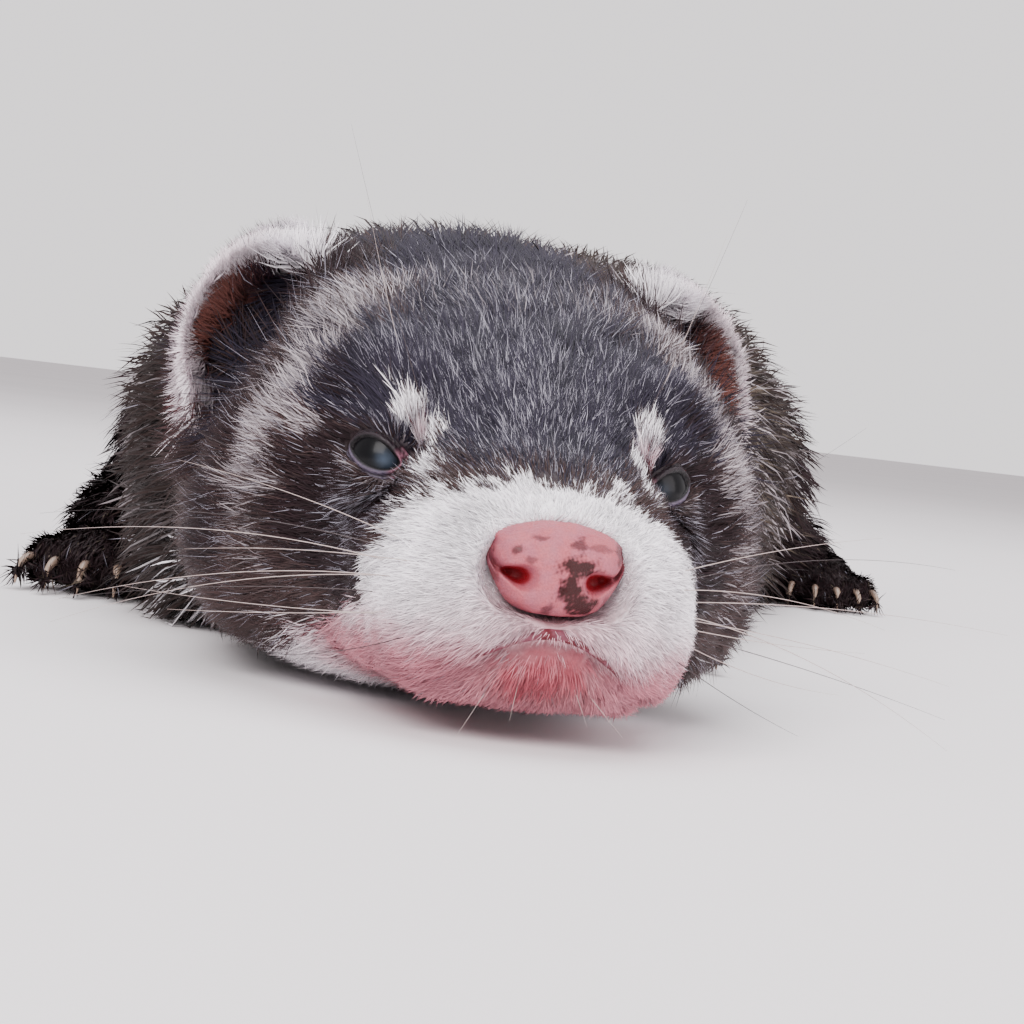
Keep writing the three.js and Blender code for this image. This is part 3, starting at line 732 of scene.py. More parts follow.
class Tufts:
    """The tufts of one coat piece: one row of each value for each tuft. Its steps run in their order."""

    def __init__(self, skin, chosen, count, seed):
        """Roots on the skin's chosen vertices, apart from places where no tuft grows."""
        surface = skin["surface"]
        quads = surface.quads[chosen[surface.quads].all(axis=1)]
        weight = skin["fields"][:, 3] * coat_share(surface.points, skin["normals"])
        read, parts = scatter(skin, quads, weight, count, seed)
        root, normal = read(surface.points), unit(read(skin["normals"]))
        lie = across(read(skin["lie"]), normal)
        keep = ~hidden_places(root)
        self.root, self.normal, self.lie, self.parts = root[keep], normal[keep], lie[keep], parts[keep]
        self.depth, self.length, self.width = (field[keep] for field in read(skin["fields"]).T[:3])
        self.count = len(self.root)
        self.draw = np.random.default_rng(seed + 1)
        waves = [ripple(self.root, size, seed + k) for k, size in enumerate(WAVE_SIZES)]
        self.wave = np.stack(waves, axis=1)

    def sway(self, stray):
        """Turns each tuft a little to one side, in waves and by chance, and more round the nose pad."""
        side = np.cross(self.normal, self.lie)
        fringe = np.exp(-((pad_share(self.root) - 0.98) / 0.1) ** 2)
        turn = self.wave[:, 0] * 0.8 + self.wave[:, 2] * 0.7 + self.draw.normal(0, 1.0, self.count)
        turn = (stray + 0.9 * fringe) * turn
        self.lie = across(self.lie + side * turn[:, None], self.normal)
        self.side = np.cross(self.normal, self.lie)

    def mark(self):
        """Gives each tuft its markings. Between two colours a tuft takes nearly the one or the other."""
        marks = markings(self.root, self.normal, self.parts)
        marks["luck"] = self.draw.random(self.count)
        marks["wave"] = 0.5 + 0.3 * ripple(self.root, 6.0, 41)
        choice = self.draw.random(self.count)
        for key in MARKS_APART:
            partly = (marks[key] > 0.03) & (marks[key] < 0.97)
            taken = np.clip((1.25 * marks[key] - choice) * 4, 0, 1)
            marks[key] = np.where(partly, taken, marks[key])
        self.marks = marks
        self.ticked = marks["luck"] > 1 - marks["tick"]

    def size(self, habit, coat):
        """Each tuft's length, how far it rises, how it bends and how wide its flat blade is."""
        draw, count = self.draw, self.count
        length = self.length * coat.length * draw.uniform(0.7, 1.15, count)
        length *= 1 - 0.55 * eye_closeness(self.root)
        length *= 1 + 0.12 * self.ticked
        before_end = SPINE_LENGTH - line_distance(self.root, SPINE)[1]
        length = np.minimum(length, np.maximum(before_end + TAIL_OVERHANG, SHORTEST_ON_TAIL))
        lift = np.clip(0.85 + 0.25 * self.wave[:, 1] + draw.normal(0, 0.22, count), 0.25, 1.5)
        self.rise = np.minimum(self.depth * habit["lift"] * lift, 0.8 * length)
        self.run = np.sqrt(length**2 - self.rise**2)
        self.bend = draw.normal(0, habit["curl"], count) * length
        roll = draw.normal(0, habit["roll"], count)[:, None]
        self.blade = self.side * np.cos(roll) + self.normal * np.sin(roll)
        half_share = draw.uniform(0.35, 0.65, count)
        self.half = self.width * habit["wide"] * coat.width * half_share * (1 - 0.5 * self.ticked)

    def gather(self):
        """The way along the skin from each root to the middle of its clump."""
        cell_size = np.maximum(2.2 * self.width.mean() * 4, 0.6)
        cells = np.floor((self.root + 0.35 * self.wave) / cell_size).astype(np.int64)
        _, cell = np.unique(cells @ CELL_PRIMES, return_inverse=True)
        members = np.bincount(cell)
        middle = np.stack([np.bincount(cell, self.root[:, k]) / members for k in range(3)], axis=1)
        way = middle[cell] - self.root
        return way - self.normal * np.sum(way * self.normal, axis=1, keepdims=True)

    def rows(self, shares, clump, unwrap):
        """Points, shading normals, share along the tuft and unwrap: two each row, and one at the tip."""
        place = skin_unwrap(self.root, unwrap)
        way = self.gather()
        for t in shares:
            height = self.rise * (1 - (1 - t) ** 1.7) - ROOT_SINK
            centre = self.root + self.lie * (self.run * t)[:, None] + self.normal * height[:, None]
            centre += self.side * (self.bend * t * t)[:, None] + way * (clump * t * t)
            centre[:, 2] = np.maximum(centre[:, 2], FLOOR + FLOOR_GAP)
            slope = self.rise / np.maximum(self.run, 1e-6) * 1.7 * (1 - t) ** 0.7
            upright = mix(unit(self.normal - self.lie * slope[:, None]), self.normal, 0.5)
            turns = (0,) if t == 1 else (-1, 1)
            for turn in turns:
                point = centre + self.blade * (turn * (1 - 0.35 * t) * self.half)[:, None]
                shading = unit(upright + self.side * (0.55 * turn))
                patch = place + np.array([PATCH * (turn + 1) / 2, PATCH * t])
                yield point, shading, np.full(self.count, t), patch


def in_turn(columns):
    """The columns' values tuft by tuft, one after the other."""
    stacked = np.stack(columns, axis=1)
    return stacked.reshape(-1, *stacked.shape[2:])


def grow_tufts(name, chosen, count, rows, seed, material, unwrap, **changes):
    """One coat piece: flat tapered tufts that rise from the skin and follow its lie."""
    habit = {**TUFT_HABIT, **changes}
    coat = bpy.context.scene.ferret_coat
    tufts = Tufts(made["shape"], chosen, count, seed)
    tufts.sway(habit["stray"] * coat.stray)
    tufts.mark()
    tufts.size(habit, coat)
    points, shading, along, patches = map(in_turn, zip(*tufts.rows(ROW_SHARES[rows], habit["clump"], unwrap)))
    step = 2 * rows + 1
    first = np.arange(tufts.count)[:, None] * step
    bands = [first + np.array([2 * k + 1, 2 * k, 2 * k + 2, 2 * k + 3]) for k in range(rows - 1)]
    tips = first + np.array([2 * rows - 1, 2 * rows - 2, 2 * rows])
    mesh = build_mesh(name, points, [*bands, tips])
    for key, values in tufts.marks.items():
        set_values(mesh, key, np.repeat(values, step))
    set_values(mesh, "along", along)
    unwrapped = mesh.uv_layers.new(name="OFBake")
    corner = np.empty(len(mesh.loops), dtype=np.int32)
    mesh.loops.foreach_get("vertex_index", corner)
    unwrapped.data.foreach_set("uv", patches[corner].astype(np.float32).ravel())
    mesh.normals_split_custom_set_from_vertices(shading.astype(np.float32))
    return link(name, mesh, material)


# The eyes: the almond between the lids lies across the gaze, with its inner corner low.
LID_SLANT = math.radians(12)
EYE_OPENING = {"outer": 2.4, "inner": 2.7, "above": 1.15, "below": 0.95, "skew": 0.34}
EYE_INSIDE = (2.5, 1.02)
EYEBALL_INSET = 0.12
CORNEA = {"height": 0.22, "reach": 0.62}
PUPIL = (0.80, 0.90)
IRIS = (0.55, 0.66)
# The painted reflection on each eyeball: a soft blue-grey spot towards the inner corner, stronger on the
# right eye, standing for the lamps mirrored in it.
REFLECTION_SPOT = (np.array([1.2, -0.1]), (0.6, 0.6))
REFLECTION_STRENGTH = {1: 0.3, -1: 1.0}

# A lid in section, from the ball outwards: the distance from the almond, the height over the ball, how
# far it is drawn to the skin there and how high it lies over the skin.
LID_SECTION = {
    "out": (-0.35, 0.0, 0.06, 0.16, 0.32, 0.55, 0.85, 1.2, 1.7),
    "high": (-0.6, 0.0, 0.1, 0.18, 0.2, 0.2, 0.15, 0.05, -0.1),
    "drawn": (0, 0, 0, 0, 0.1, 0.4, 0.75, 0.95, 1.0),
    "over_skin": (0, 0, 0, 0, 0.2, 0.16, 0.05, -0.12, -0.5),
}
LID_ROWS = 30
LID_FOLD = {"height": 0.1, "at": 0.3, "waves": 9.5, "middle": 0.8, "reach": 0.5}
LID_PLEATS = {"height": 0.035, "count": 23}


def eye_axes(hand):
    """The gaze, the long axis towards the nose and the axis across it, of one eye."""
    gaze = unit(mirrored(GAZE, hand))
    inwards = unit(np.cross(gaze, UP) * hand)
    inwards *= np.sign(-inwards[0] * hand)
    upwards = np.cross(inwards, gaze) * hand
    upwards *= np.sign(upwards[2])
    long = inwards * math.cos(LID_SLANT) - upwards * math.sin(LID_SLANT)
    tall = inwards * math.sin(LID_SLANT) + upwards * math.cos(LID_SLANT)
    return {"gaze": gaze, "long": long, "tall": tall}


def almond(shares):
    """The outline between the lids: along the long axis towards the nose, and across it."""
    turn = 2 * math.pi * np.asarray(shares)
    reach = np.where(np.cos(turn) > 0, EYE_OPENING["inner"], EYE_OPENING["outer"])
    upper = np.sin(turn) > 0
    height = np.where(upper, EYE_OPENING["above"], EYE_OPENING["below"])
    skew = 1 - EYE_OPENING["skew"] * np.cos(turn) * np.where(upper, 1, -1)
    across_it = height * skew * np.sin(turn) * np.abs(np.sin(turn)) ** 0.3
    return np.stack([reach * np.cos(turn), across_it], axis=1)


def eye_distance(points, hand):
    """How far points are, seen along the gaze, from the almond between the lids, and how deep they lie."""
    axes = eye_axes(hand)
    offset = points - mirrored(EYE_CENTRE, hand)
    along, across_it, depth = offset @ axes["long"], offset @ axes["tall"], offset @ axes["gaze"]
    outline = almond(np.linspace(0, 1, 48, endpoint=False))
    away = np.min(np.hypot(along[:, None] - outline[:, 0], across_it[:, None] - outline[:, 1]), axis=1)
    inside = np.hypot(along / EYE_INSIDE[0], across_it / EYE_INSIDE[1]) < 1
    return np.where(depth > 0, np.where(inside, -away, away), 99.0), depth


def ring_faces(rings, around, closed_ends):
    """Quads between rings of points, and the triangles to the two end points that follow them."""
    i, j = np.meshgrid(np.arange(rings - 1), np.arange(around), indexing="ij")
    i, j = i.ravel(), j.ravel()
    k = (j + 1) % around
    quads = np.stack([i * around + j, (i + 1) * around + j, (i + 1) * around + k, i * around + k], axis=1)
    if not closed_ends:
        return quads, np.empty((0, 3), dtype=int)
    j = np.arange(around)
    k = (j + 1) % around
    last = (rings - 1) * around
    front = np.stack([np.full(around, rings * around), j, k], axis=1)
    rear = np.stack([np.full(around, rings * around + 1), last + k, last + j], axis=1)
    return quads, np.concatenate([front, rear])


def eyeball_mesh(name, hand, radius, rings=40, around=64):
    """An eyeball with its cornea standing out at the gaze."""
    axes = eye_axes(hand)
    polar = np.linspace(0, math.pi, rings + 1)
    turn = np.linspace(0, 2 * math.pi, around, endpoint=False)
    grown = radius + CORNEA["height"] * np.exp(-((polar / CORNEA["reach"]) ** 2))
    wide, deep = (np.sin(polar) * grown)[1:-1, None, None], (np.cos(polar) * grown)[1:-1, None, None]
    circle = np.cos(turn)[:, None] * axes["long"], np.sin(turn)[:, None] * axes["tall"]
    body = (wide * circle[0] + wide * circle[1] + deep * axes["gaze"]).reshape(-1, 3)
    centre = mirrored(EYE_CENTRE, hand)
    points = np.concatenate([body, [axes["gaze"] * grown[0]], [-axes["gaze"] * grown[-1]]]) + centre
    quads, tips = ring_faces(rings - 1, around, True)
    mesh = build_mesh(name, points, [quads[:, ::-hand], tips[:, ::-hand]])
    offset = points - centre
    depth = unit(offset) @ axes["gaze"]
    set_values(mesh, "pupil", ramp(depth, *PUPIL))
    set_values(mesh, "iris", ramp(depth, *IRIS))
    # Painted reflection: the blue-grey spot that the eye's colour takes, stronger on one side.
    spot_share = blob(np.stack([offset @ axes["long"], offset @ axes["tall"]], axis=1), *REFLECTION_SPOT)
    set_values(mesh, "haze", spot_share * ramp(depth, 0, 0.5) * REFLECTION_STRENGTH[hand])
    return mesh


def nearest_skin(points):
    """The nearest place on the skin to each point, and the skin's outward direction there."""
    if "tree" not in made:
        made["tree"] = BVHTree.FromObject(made["skin"], bpy.context.evaluated_depsgraph_get())
    found = [made["tree"].find_nearest(Vector((point + HEAD_ORIGIN) * MM)) for point in points]
    places = np.array([hit[0] for hit in found]) / MM - HEAD_ORIGIN
    return places, np.array([hit[1] for hit in found])


def lid_mesh(name, hand, around=144):
    """Both lids of one eye as one ring: the moist rim on the ball, the swelling and the bare skin."""
    axes = eye_axes(hand)
    shares = np.arange(around) / around
    outline = almond(shares)
    run = np.roll(outline, -1, axis=0) - np.roll(outline, 1, axis=0)
    outwards = unit(mix(unit(np.stack([run[:, 1], -run[:, 0]], axis=1)), unit(outline), 0.5))
    upper = ramp(outline[:, 1], -0.35, 0.25)
    knots = np.arange(len(LID_SECTION["out"]))
    reached = np.interp(np.linspace(0, knots[-1], LID_ROWS), knots, LID_SECTION["out"])
    rows = []
    for out in reached:
        section = {key: np.interp(out, LID_SECTION["out"], values) for key, values in LID_SECTION.items()}
        flat = outline + outwards * out
        ray = unit(axes["gaze"] + (flat[:, :1] * axes["long"] + flat[:, 1:] * axes["tall"]) / EYE_RADIUS)
        swell = math.exp(-((out - LID_FOLD["middle"]) / LID_FOLD["reach"]) ** 2)
        fold = LID_FOLD["height"] * math.cos((out - LID_FOLD["at"]) * LID_FOLD["waves"]) * swell
        turn = shares * 2 * math.pi * LID_PLEATS["count"] + 4 * math.sin(out * 5)
        pleat = LID_PLEATS["height"] * np.sin(turn) * ramp(out, 0.25, 0.5) * ramp(out, 1.1, 0.7)
        high = EYE_RADIUS + section["high"] + 0.14 * upper * ramp(out, 0.0, 0.25)
        row = mirrored(EYE_CENTRE, hand) + ray * high[:, None]
        skin, way = nearest_skin(row)
        row = mix(row, skin + way * section["over_skin"], section["drawn"])
        rows.append(row + ray * (fold + pleat)[:, None])
    quads, _ = ring_faces(len(rows), around, False)
    mesh = build_mesh(name, np.concatenate(rows), [quads[:, ::-hand]])
    out = np.repeat(reached, around)
    set_values(mesh, "rim", 1 - ramp(out, 0.1, 0.26))
    # Painted shade along the lid's fold.
    set_values(mesh, "crease", np.exp(-(((out - 0.7) / 0.13) ** 2)) * 0.75)
    set_values(mesh, "corner", np.tile(ramp(outline[:, 0], 1.4, 2.4), len(rows)) * 0.9)
    # Painted shade over the upper lid.
    set_values(mesh, "upper", np.tile(upper, len(rows)) * ramp(out, -0.05, 0.15) * 0.94)
    return mesh


# The bare nose pad, seen from in front: across and up. Its edge is a reach at each rise in degrees.
PAD_MIDDLE = -7.2
PAD_EDGE = {
    "turn": (-90, -74, -52, -41, -22, -5, 3, 12, 21, 32, 47, 61, 90),
    "reach": (3.55, 3.64, 4.2, 4.45, 4.62, 5.0, 5.3, 5.5, 5.35, 4.8, 4.1, 3.7, 3.35),
}
PAD_FRONT = NOSE_CENTRE[1] + 0.5
PAD_LEAN = 0.2
PAD_SWELLS = [((3.9, -6.0), (1.3, 1.2), 0.8), ((0, -6.6), (1.7, 2.2), 0.3), ((2.4, -10.0), (1.3, 0.8), 0.2)]
PAD_GROOVE = {"width": 0.3, "depth": 0.3}
PAD_BACK = ((0.9, 1), (2.4, 0.8))
NOSTRIL = np.array([3.15, -7.95])
NOSTRIL_LEAN = 0.24
SLIT = np.array([(3.9, -7.8), (4.6, -7.5), (5.0, -6.95), (5.15, -6.3), (4.9, -5.6)])
SLIT_WIDTH = 0.26
NOSE_BLOTCHES = [
    ((1.07, -6.94), (1.55, 1.1), 1.0), ((1.7, -9.75), (1.45, 1.1), 1.0), ((0.6, -8.45), (1.1, 1.3), 1.0),
    ((1.07, -5.3), (0.75, 0.6), 0.75), ((-0.75, -10.2), (0.7, 0.5), 0.7), ((-3.4, -6.1), (0.5, 0.5), 0.8),
    ((-2.4, -6.7), (0.5, 0.4), 0.55), ((-1.8, -5.1), (0.7, 0.25), 0.65), ((4.6, -5.7), (0.6, 1.0), 0.7),
    ((2.95, -5.4), (1.1, 0.4), 0.5), ((-5.3, -6.4), (0.5, 1.1), 0.85), ((-4.65, -8.1), (0.45, 1.2), 0.6),
    ((3.75, -9.4), (0.4, 0.6), 0.5),
]


def pad_reach(turn):
    """How far the pad's edge is from its middle at these turns, the same on both sides."""
    rise = np.degrees(np.arcsin(np.clip(np.sin(turn), -1, 1)))
    return np.interp(rise, PAD_EDGE["turn"], PAD_EDGE["reach"])


def pad_share(points):
    """How far out points on the snout lie, seen from in front: 1 at the edge of the nose pad."""
    x, z = points[:, 0], points[:, 2] - PAD_MIDDLE
    share = np.hypot(x, z) / pad_reach(np.arctan2(z, x))
    return np.where(points[:, 1] < -12, share, 9.0)


def nose_form(flat):
    """At each place on the pad: how far it swells, how deep it is hollowed, and the nostril's slit."""
    place = np.stack([np.abs(flat[:, 0]), flat[:, 1]], axis=1)
    swells = sum(strength * blob(place, centre, reach) for centre, reach, strength in PAD_SWELLS)
    groove = np.exp(-((place[:, 0] / PAD_GROOVE["width"]) ** 2)) * ramp(-place[:, 1], 6.8, 8.8)
    cosine, sine = math.cos(NOSTRIL_LEAN), math.sin(NOSTRIL_LEAN)
    u, v = (place - NOSTRIL).T
    along, aside = u * cosine + v * sine, v * cosine - u * sine
    pit = np.exp(-((along / 1.2) ** 2 + (aside / (0.66 - 0.26 * np.clip(along, -1.2, 1.2))) ** 2) ** 2)
    away, reached = line_distance(place, SLIT)
    slit = np.exp(-((away / SLIT_WIDTH) ** 2)) * (1 - 0.6 * ramp(reached, 0.8, 4.2))
    rim = np.exp(-((away - 0.75) / 0.4) ** 2) * 0.2
    return swells - PAD_GROOVE["depth"] * groove + rim, np.maximum(2.4 * pit, 1.1 * slit), slit * (1 - pit)


def nose_mesh(name, rings=80, around=160):
    """The nose pad: a rounded wide block with a wing and a comma-shaped nostril on each side."""
    turn = np.linspace(0, 2 * math.pi, around, endpoint=False)
    edge_reach = pad_reach(turn)
    for _ in range(6):
        edge_reach = (np.roll(edge_reach, 1) + 2 * edge_reach + np.roll(edge_reach, -1)) / 4
    reach = np.linspace(0, 1, rings + 1)[1:, None] * edge_reach
    x, z = (reach * np.cos(turn)).ravel(), (reach * np.sin(turn)).ravel() + PAD_MIDDLE
    far = np.repeat(np.linspace(0, 1, rings + 1)[1:], around)
    form, hollow, _ = nose_form(np.stack([x, z], axis=1))
    dome = np.sqrt(np.clip(1 - far**3.0, 0, 1))
    forward = 2.2 * dome + 1.25 * form * dome**2 - hollow * ramp(1 - far, 0, 0.1) - 0.045 * x**2
    forward -= PAD_LEAN * (z - NOSE_CENTRE[2]) * dome
    front = np.stack([x, PAD_FRONT - forward, z], axis=1)
    back_rows = []
    for depth, shrink in PAD_BACK:
        row = front[-around:] * (1, 0, 1) + np.array([0, PAD_FRONT + depth, 0])
        back_rows.append((row - NOSE_CENTRE) * (shrink, 1, shrink) + NOSE_CENTRE)
    middle = front[:around].mean(axis=0, keepdims=True)
    points = np.concatenate([front, *back_rows, middle, [NOSE_CENTRE + (0, 3.1, 0)]])
    quads, tips = ring_faces(rings + len(PAD_BACK), around, True)
    mesh = build_mesh(name, points, [quads[:, ::-1], tips[:, ::-1]])
    _, deep, slit = nose_form(points[:, [0, 2]])
    # The pigment value holds the pad's own blotches and painted shade along the nostrils' slits.
    set_values(mesh, "pigment", np.maximum(nose_pigment(points), 0.75 * slit))
    set_values(mesh, "nostril", ramp(deep, 0.9, 1.7))
    # Painted shade at the bottom of each nostril.
    set_values(mesh, "deep", ramp(deep, 1.9, 2.5) * 0.4)
    return mesh


def nose_pigment(points):
    """The dark blotches of the nose pad, from 0 to 1, with ragged edges."""
    wobble = ripple(points, 0.9, 71) * 0.22 + ripple(points, 0.35, 72) * 0.12
    pigment = np.zeros(len(points))
    for centre, reach, strength in NOSE_BLOTCHES:
        spot = ramp(blob(points[:, [0, 2]], centre, reach) + 0.8 * wobble, 0.3, 0.8)
        pigment = np.maximum(pigment, strength * spot)
    return pigment


def tube_mesh(name, lines, radii, around=6):
    """Closed tapering tubes along lines, as one mesh. Each line has a radius at each of its points."""
    points, quads, tips, along, before = [], [], [], [], 0
    turn = np.linspace(0, 2 * math.pi, around, endpoint=False)[:, None]
    for line, radius in zip(lines, radii):
        rings = len(line)
        run = unit(np.gradient(line, axis=0))
        side = unit(np.cross(run, np.array([0.3, 0.2, 1.0])))[:, None]
        other = np.cross(run[:, None], side)
        rows = line[:, None] + (side * np.cos(turn) + other * np.sin(turn)) * radius[:, None, None]
        points += [rows.reshape(-1, 3), line[:1], line[-1:]]
        ring_quads, ring_tips = ring_faces(rings, around, True)
        quads.append(ring_quads[:, ::-1] + before)
        tips.append(ring_tips[:, ::-1] + before)
        before += rings * around + 2
        along.append(np.concatenate([np.repeat(np.linspace(0, 1, rings), around), [0, 1]]))
    mesh = build_mesh(name, np.concatenate(points), [np.concatenate(quads), np.concatenate(tips)])
    set_values(mesh, "along", np.concatenate(along))
    return mesh


def smooth_line(stations, count):
    """Points along a smooth curve through the stations: a cubic between every two, by four of them."""
    line = np.asarray(stations, dtype=float)
    padded = np.concatenate([[2 * line[0] - line[1]], line, [2 * line[-1] - line[-2]]])
    along = np.linspace(0, len(line) - 1 - 1e-6, count)
    first = along.astype(int)
    t = (along - first)[:, None]
    a, b, c, d = (padded[first + k] for k in range(4))
    return 0.5 * (2 * b + (c - a) * t + (2 * a - 5 * b + 4 * c - d) * t**2 + (3 * b - a - 3 * c + d) * t**3)


# Lips: a line sunk a little into the skin, which thins to both corners of the mouth. Its dark red is partly
# the lips' own colour and partly painted shadow in the mouth's crease.
LIP_ROWS = 90
LIP_SINK = 0.1
LIP_SMOOTHING = 30
LIP_END_RADIUS = 0.04

# Whiskers: root near the skin, direction, length and droop. The right side's are alike.
MUZZLE_WHISKERS = [
    ((10.8, -13.5, -6.6), (1, 0.45, 0.30), 24, -3), ((11.6, -12.2, -7.6), (1, 0.55, 0.12), 29, -4),
    ((11.8, -12.6, -8.9), (1, 0.42, 0.02), 31, -5), ((12.0, -11.6, -10.0), (1, 0.5, -0.06), 28, -4),
    ((11.0, -14.4, -9.6), (1, 0.22, 0.0), 26, -5), ((11.6, -13.2, -11.0), (1, 0.3, -0.16), 25, -2),
    ((11.4, -12.6, -12.4), (1, 0.36, -0.26), 20, 2), ((10.2, -15.4, -11.6), (1, 0.12, -0.2), 18, 1),
    ((9.6, -16.0, -8.0), (1, 0.1, 0.16), 19, -3), ((9.2, -16.0, -13.0), (1, 0.2, -0.4), 13, 2),
]
BROW_WHISKERS = [
    ((9.6, -3.6, 3.4), (0.55, 0.25, 1), 22, 3), ((10.8, -1.8, 5.0), (0.3, 0.5, 1), 17, 3),
    ((17, 3, -3), (1, 0.5, 0.5), 21, 2), ((18.5, 5, -8), (1, 0.7, 0.1), 18, -2),
]
CHIN_WHISKERS = [
    ((3.5, -17.5, -17), (0.5, -0.4, -0.55), 5, 0), ((1.5, -18.2, -16.8), (0.2, -0.6, -0.5), 4.5, 0),
]
WHISKERS = MUZZLE_WHISKERS + BROW_WHISKERS + CHIN_WHISKERS
DARK_WHISKERS = (1, 5, 9, 10, 12, 13)
WHISKER_POINTS = 18
WHISKER_SINK = 0.5
THIN_WHISKER = 0.7


def lip_line():
    """The line of the lips and its radii."""
    skin, way = nearest_skin(smooth_line(whole_mouth(), LIP_ROWS))
    line = skin - LIP_SINK * way
    for _ in range(LIP_SMOOTHING):
        line[1:-1] = (line[:-2] + 2 * line[1:-1] + line[2:]) / 4
    share = np.linspace(-1, 1, LIP_ROWS)
    radius = bpy.context.scene.ferret_face.lip_radius / MM
    return line, radius * (1 - share**2) ** 1.5 + LIP_END_RADIUS


def whisker_lines():
    """The line and radii of every whisker, from the skin outwards in a shallow bend, and if it is dark."""
    face = bpy.context.scene.ferret_face
    lines, radii, dark = [], [], []
    draw = np.random.default_rng(5)
    share = np.linspace(0, 1, WHISKER_POINTS)[:, None]
    for hand in SIDES.values():
        for number, (place, direction, length, droop) in enumerate(WHISKERS):
            skin, way = nearest_skin([mirrored(place, hand) + draw.normal(0, 0.3, 3)])
            aim = unit(mirrored(direction, hand) + draw.normal(0, 0.09, 3))
            length = length * draw.uniform(0.86, 1.08) * face.whisker_length
            sag = np.array([0, 0.35, 1.0]) * droop * draw.uniform(0.5, 1.4)
            line = skin[0] - WHISKER_SINK * way[0] + aim * length * share + sag * share**2
            line[:, 2] = np.maximum(line[:, 2], FLOOR + 2 * FLOOR_GAP)
            lines.append(line)
            thin = 1.0 if number < len(MUZZLE_WHISKERS) else THIN_WHISKER
            radii.append(face.whisker_radius / MM * thin * (1 - 0.85 * share[:, 0]) ** 0.8)
            dark.append(number in DARK_WHISKERS)
    return lines, radii, dark


# The paws' claws, at the places that the toes of the frame's paws have. The wrist of a paw lies so far
# before and beside a station of SPINE.
PAWS = {
    "forepaw": {"station": 5, "before": 3, "out": 30, "width": 15, "length": 18, "toe": 7.8, "claw": 4.4},
    "hindpaw": {"station": 9, "before": 15, "out": 44.5, "width": 14, "length": 21, "toe": 8.4, "claw": 3.8},
}
TOES = 5
TOE_FAN = math.radians(16)
CLAW_POINTS = 14
CLAW_STATIONS = ((0.1, 3.2), (0.45, 3.4), (0.85, 2.6), (1.0, 0.55))
CLAW_RADII = ((0, 0.3, 0.75, 1), (0.58, 0.55, 0.33, 0.06))


def paw_frame(paw, hand):
    """Where a paw lies and points: its wrist, ahead and aside on the ground."""
    size = PAWS[paw]
    before, here, after = SPINE[size["station"] - 1 : size["station"] + 2, :2]
    near, far = math.sqrt(np.linalg.norm(here - before)), math.sqrt(np.linalg.norm(after - here))
    back = (here - before) / near - (after - before) / (near + far) + (after - here) / far
    back = unit(np.append(back, 0))
    out = np.cross(back, UP) * hand
    wrist = np.append(here, FLOOR) - back * size["before"] + out * size["out"]
    return {"wrist": wrist, "ahead": -back, "aside": np.cross(-back, UP)}


def claw_lines():
    """The line and radii of every claw: out of its toe, over and down to the ground."""
    lines, radii = [], []
    shares, wide = CLAW_RADII
    radius = np.interp(np.linspace(0, 1, CLAW_POINTS), shares, wide)
    for paw, size in PAWS.items():
        for hand in SIDES.values():
            place = paw_frame(paw, hand)
            for fan in np.linspace(-1, 1, TOES):
                cosine, sine = math.cos(-TOE_FAN * fan), math.sin(-TOE_FAN * fan)
                x, y, _ = place["ahead"]
                ahead = np.array([x * cosine - y * sine, x * sine + y * cosine, 0])
                toe = place["wrist"] + place["ahead"] * size["length"] * (0.62 - 0.16 * fan**2)
                toe = toe + place["aside"] * size["width"] * 0.38 * fan
                line = [
                    toe + ahead * (size["toe"] * 0.3 + size["claw"] * (share - 0.1)) + UP * height
                    for share, height in CLAW_STATIONS
                ]
                line = smooth_line(line, CLAW_POINTS)
                line[:, 2] = np.maximum(line[:, 2], FLOOR + radius + FLOOR_GAP)
                lines.append(line)
                radii.append(radius)
    return lines, radii


# Settings that a user may change. Colours are given as they look on a screen.
def tint(red, green, blue):
    """A colour of 0 to 255 as Blender's linear values with alpha."""
    shares = [value / 255 for value in (red, green, blue)]
    return (*[s / 12.92 if s <= 0.04045 else ((s + 0.055) / 1.055) ** 2.4 for s in shares], 1.0)


def colour_prop(name, description, value):
    """A colour that the user may change."""
    return FloatVectorProperty(
        name=name, description=description, default=value, size=4, min=0, max=1, subtype="COLOR"
    )


def share_prop(name, description):
    """A factor that the user may change, 1 for the natural one."""
    return FloatProperty(name=name, description=description, default=1.0, min=0.1, max=3, subtype="FACTOR")


def length_prop(name, description, millimetres):
    """A length that the user may change."""
    return FloatProperty(
        name=name, description=description, default=millimetres * MM, min=0, precision=6, unit="LENGTH"
    )


def angle_prop(name, description, degrees):
    """An angle that the user may change."""
    return FloatProperty(name=name, description=description, default=math.radians(degrees), subtype="ANGLE")


class CoatSettings(bpy.types.PropertyGroup):
    """The sizes of the coat and the colours of its markings"""

    tufts: IntProperty(
        name="Tufts", description="Percent of the full number of tufts", default=100, min=1, max=100,
        subtype="PERCENTAGE",
    )
    length: share_prop("Length", "How long the tufts are")
    width: share_prop("Width", "How wide the tufts are")
    stray: share_prop("Stray", "How far the tufts turn away from the lie of the coat")
    crown: colour_prop("Crown", "Guard hairs of the forehead and crown", tint(43, 39, 51))
    frost: colour_prop("Frost", "The pale band at the temples", tint(180, 170, 174))
    mask: colour_prop("Mask", "The dark fur round and under the eyes", tint(38, 26, 29))
    white: colour_prop("White", "The muzzle and the brow patches", tint(255, 250, 255))
    tick: colour_prop("Ticks", "Single pale hairs among the dark ones", tint(156, 152, 164))
    pink: colour_prop("Pink", "Where skin shines through at the lips and chin", tint(178, 80, 98))
    rust: colour_prop("Rust", "The outer part of the ears' cups", tint(136, 88, 80))
    cup: colour_prop("Ear cup", "The dark inner part of the ears' cups", tint(30, 21, 30))
    cheek: colour_prop("Cheek", "The sides of the head and the neck", tint(64, 49, 48))
    guard: colour_prop("Guard hair", "Long hairs of the back and flanks", tint(38, 27, 25))
    under: colour_prop("Undercoat", "The woolly coat below the guard hairs", tint(196, 178, 156))
    limbs: colour_prop("Limbs", "Legs, paws and tail", tint(44, 32, 32))


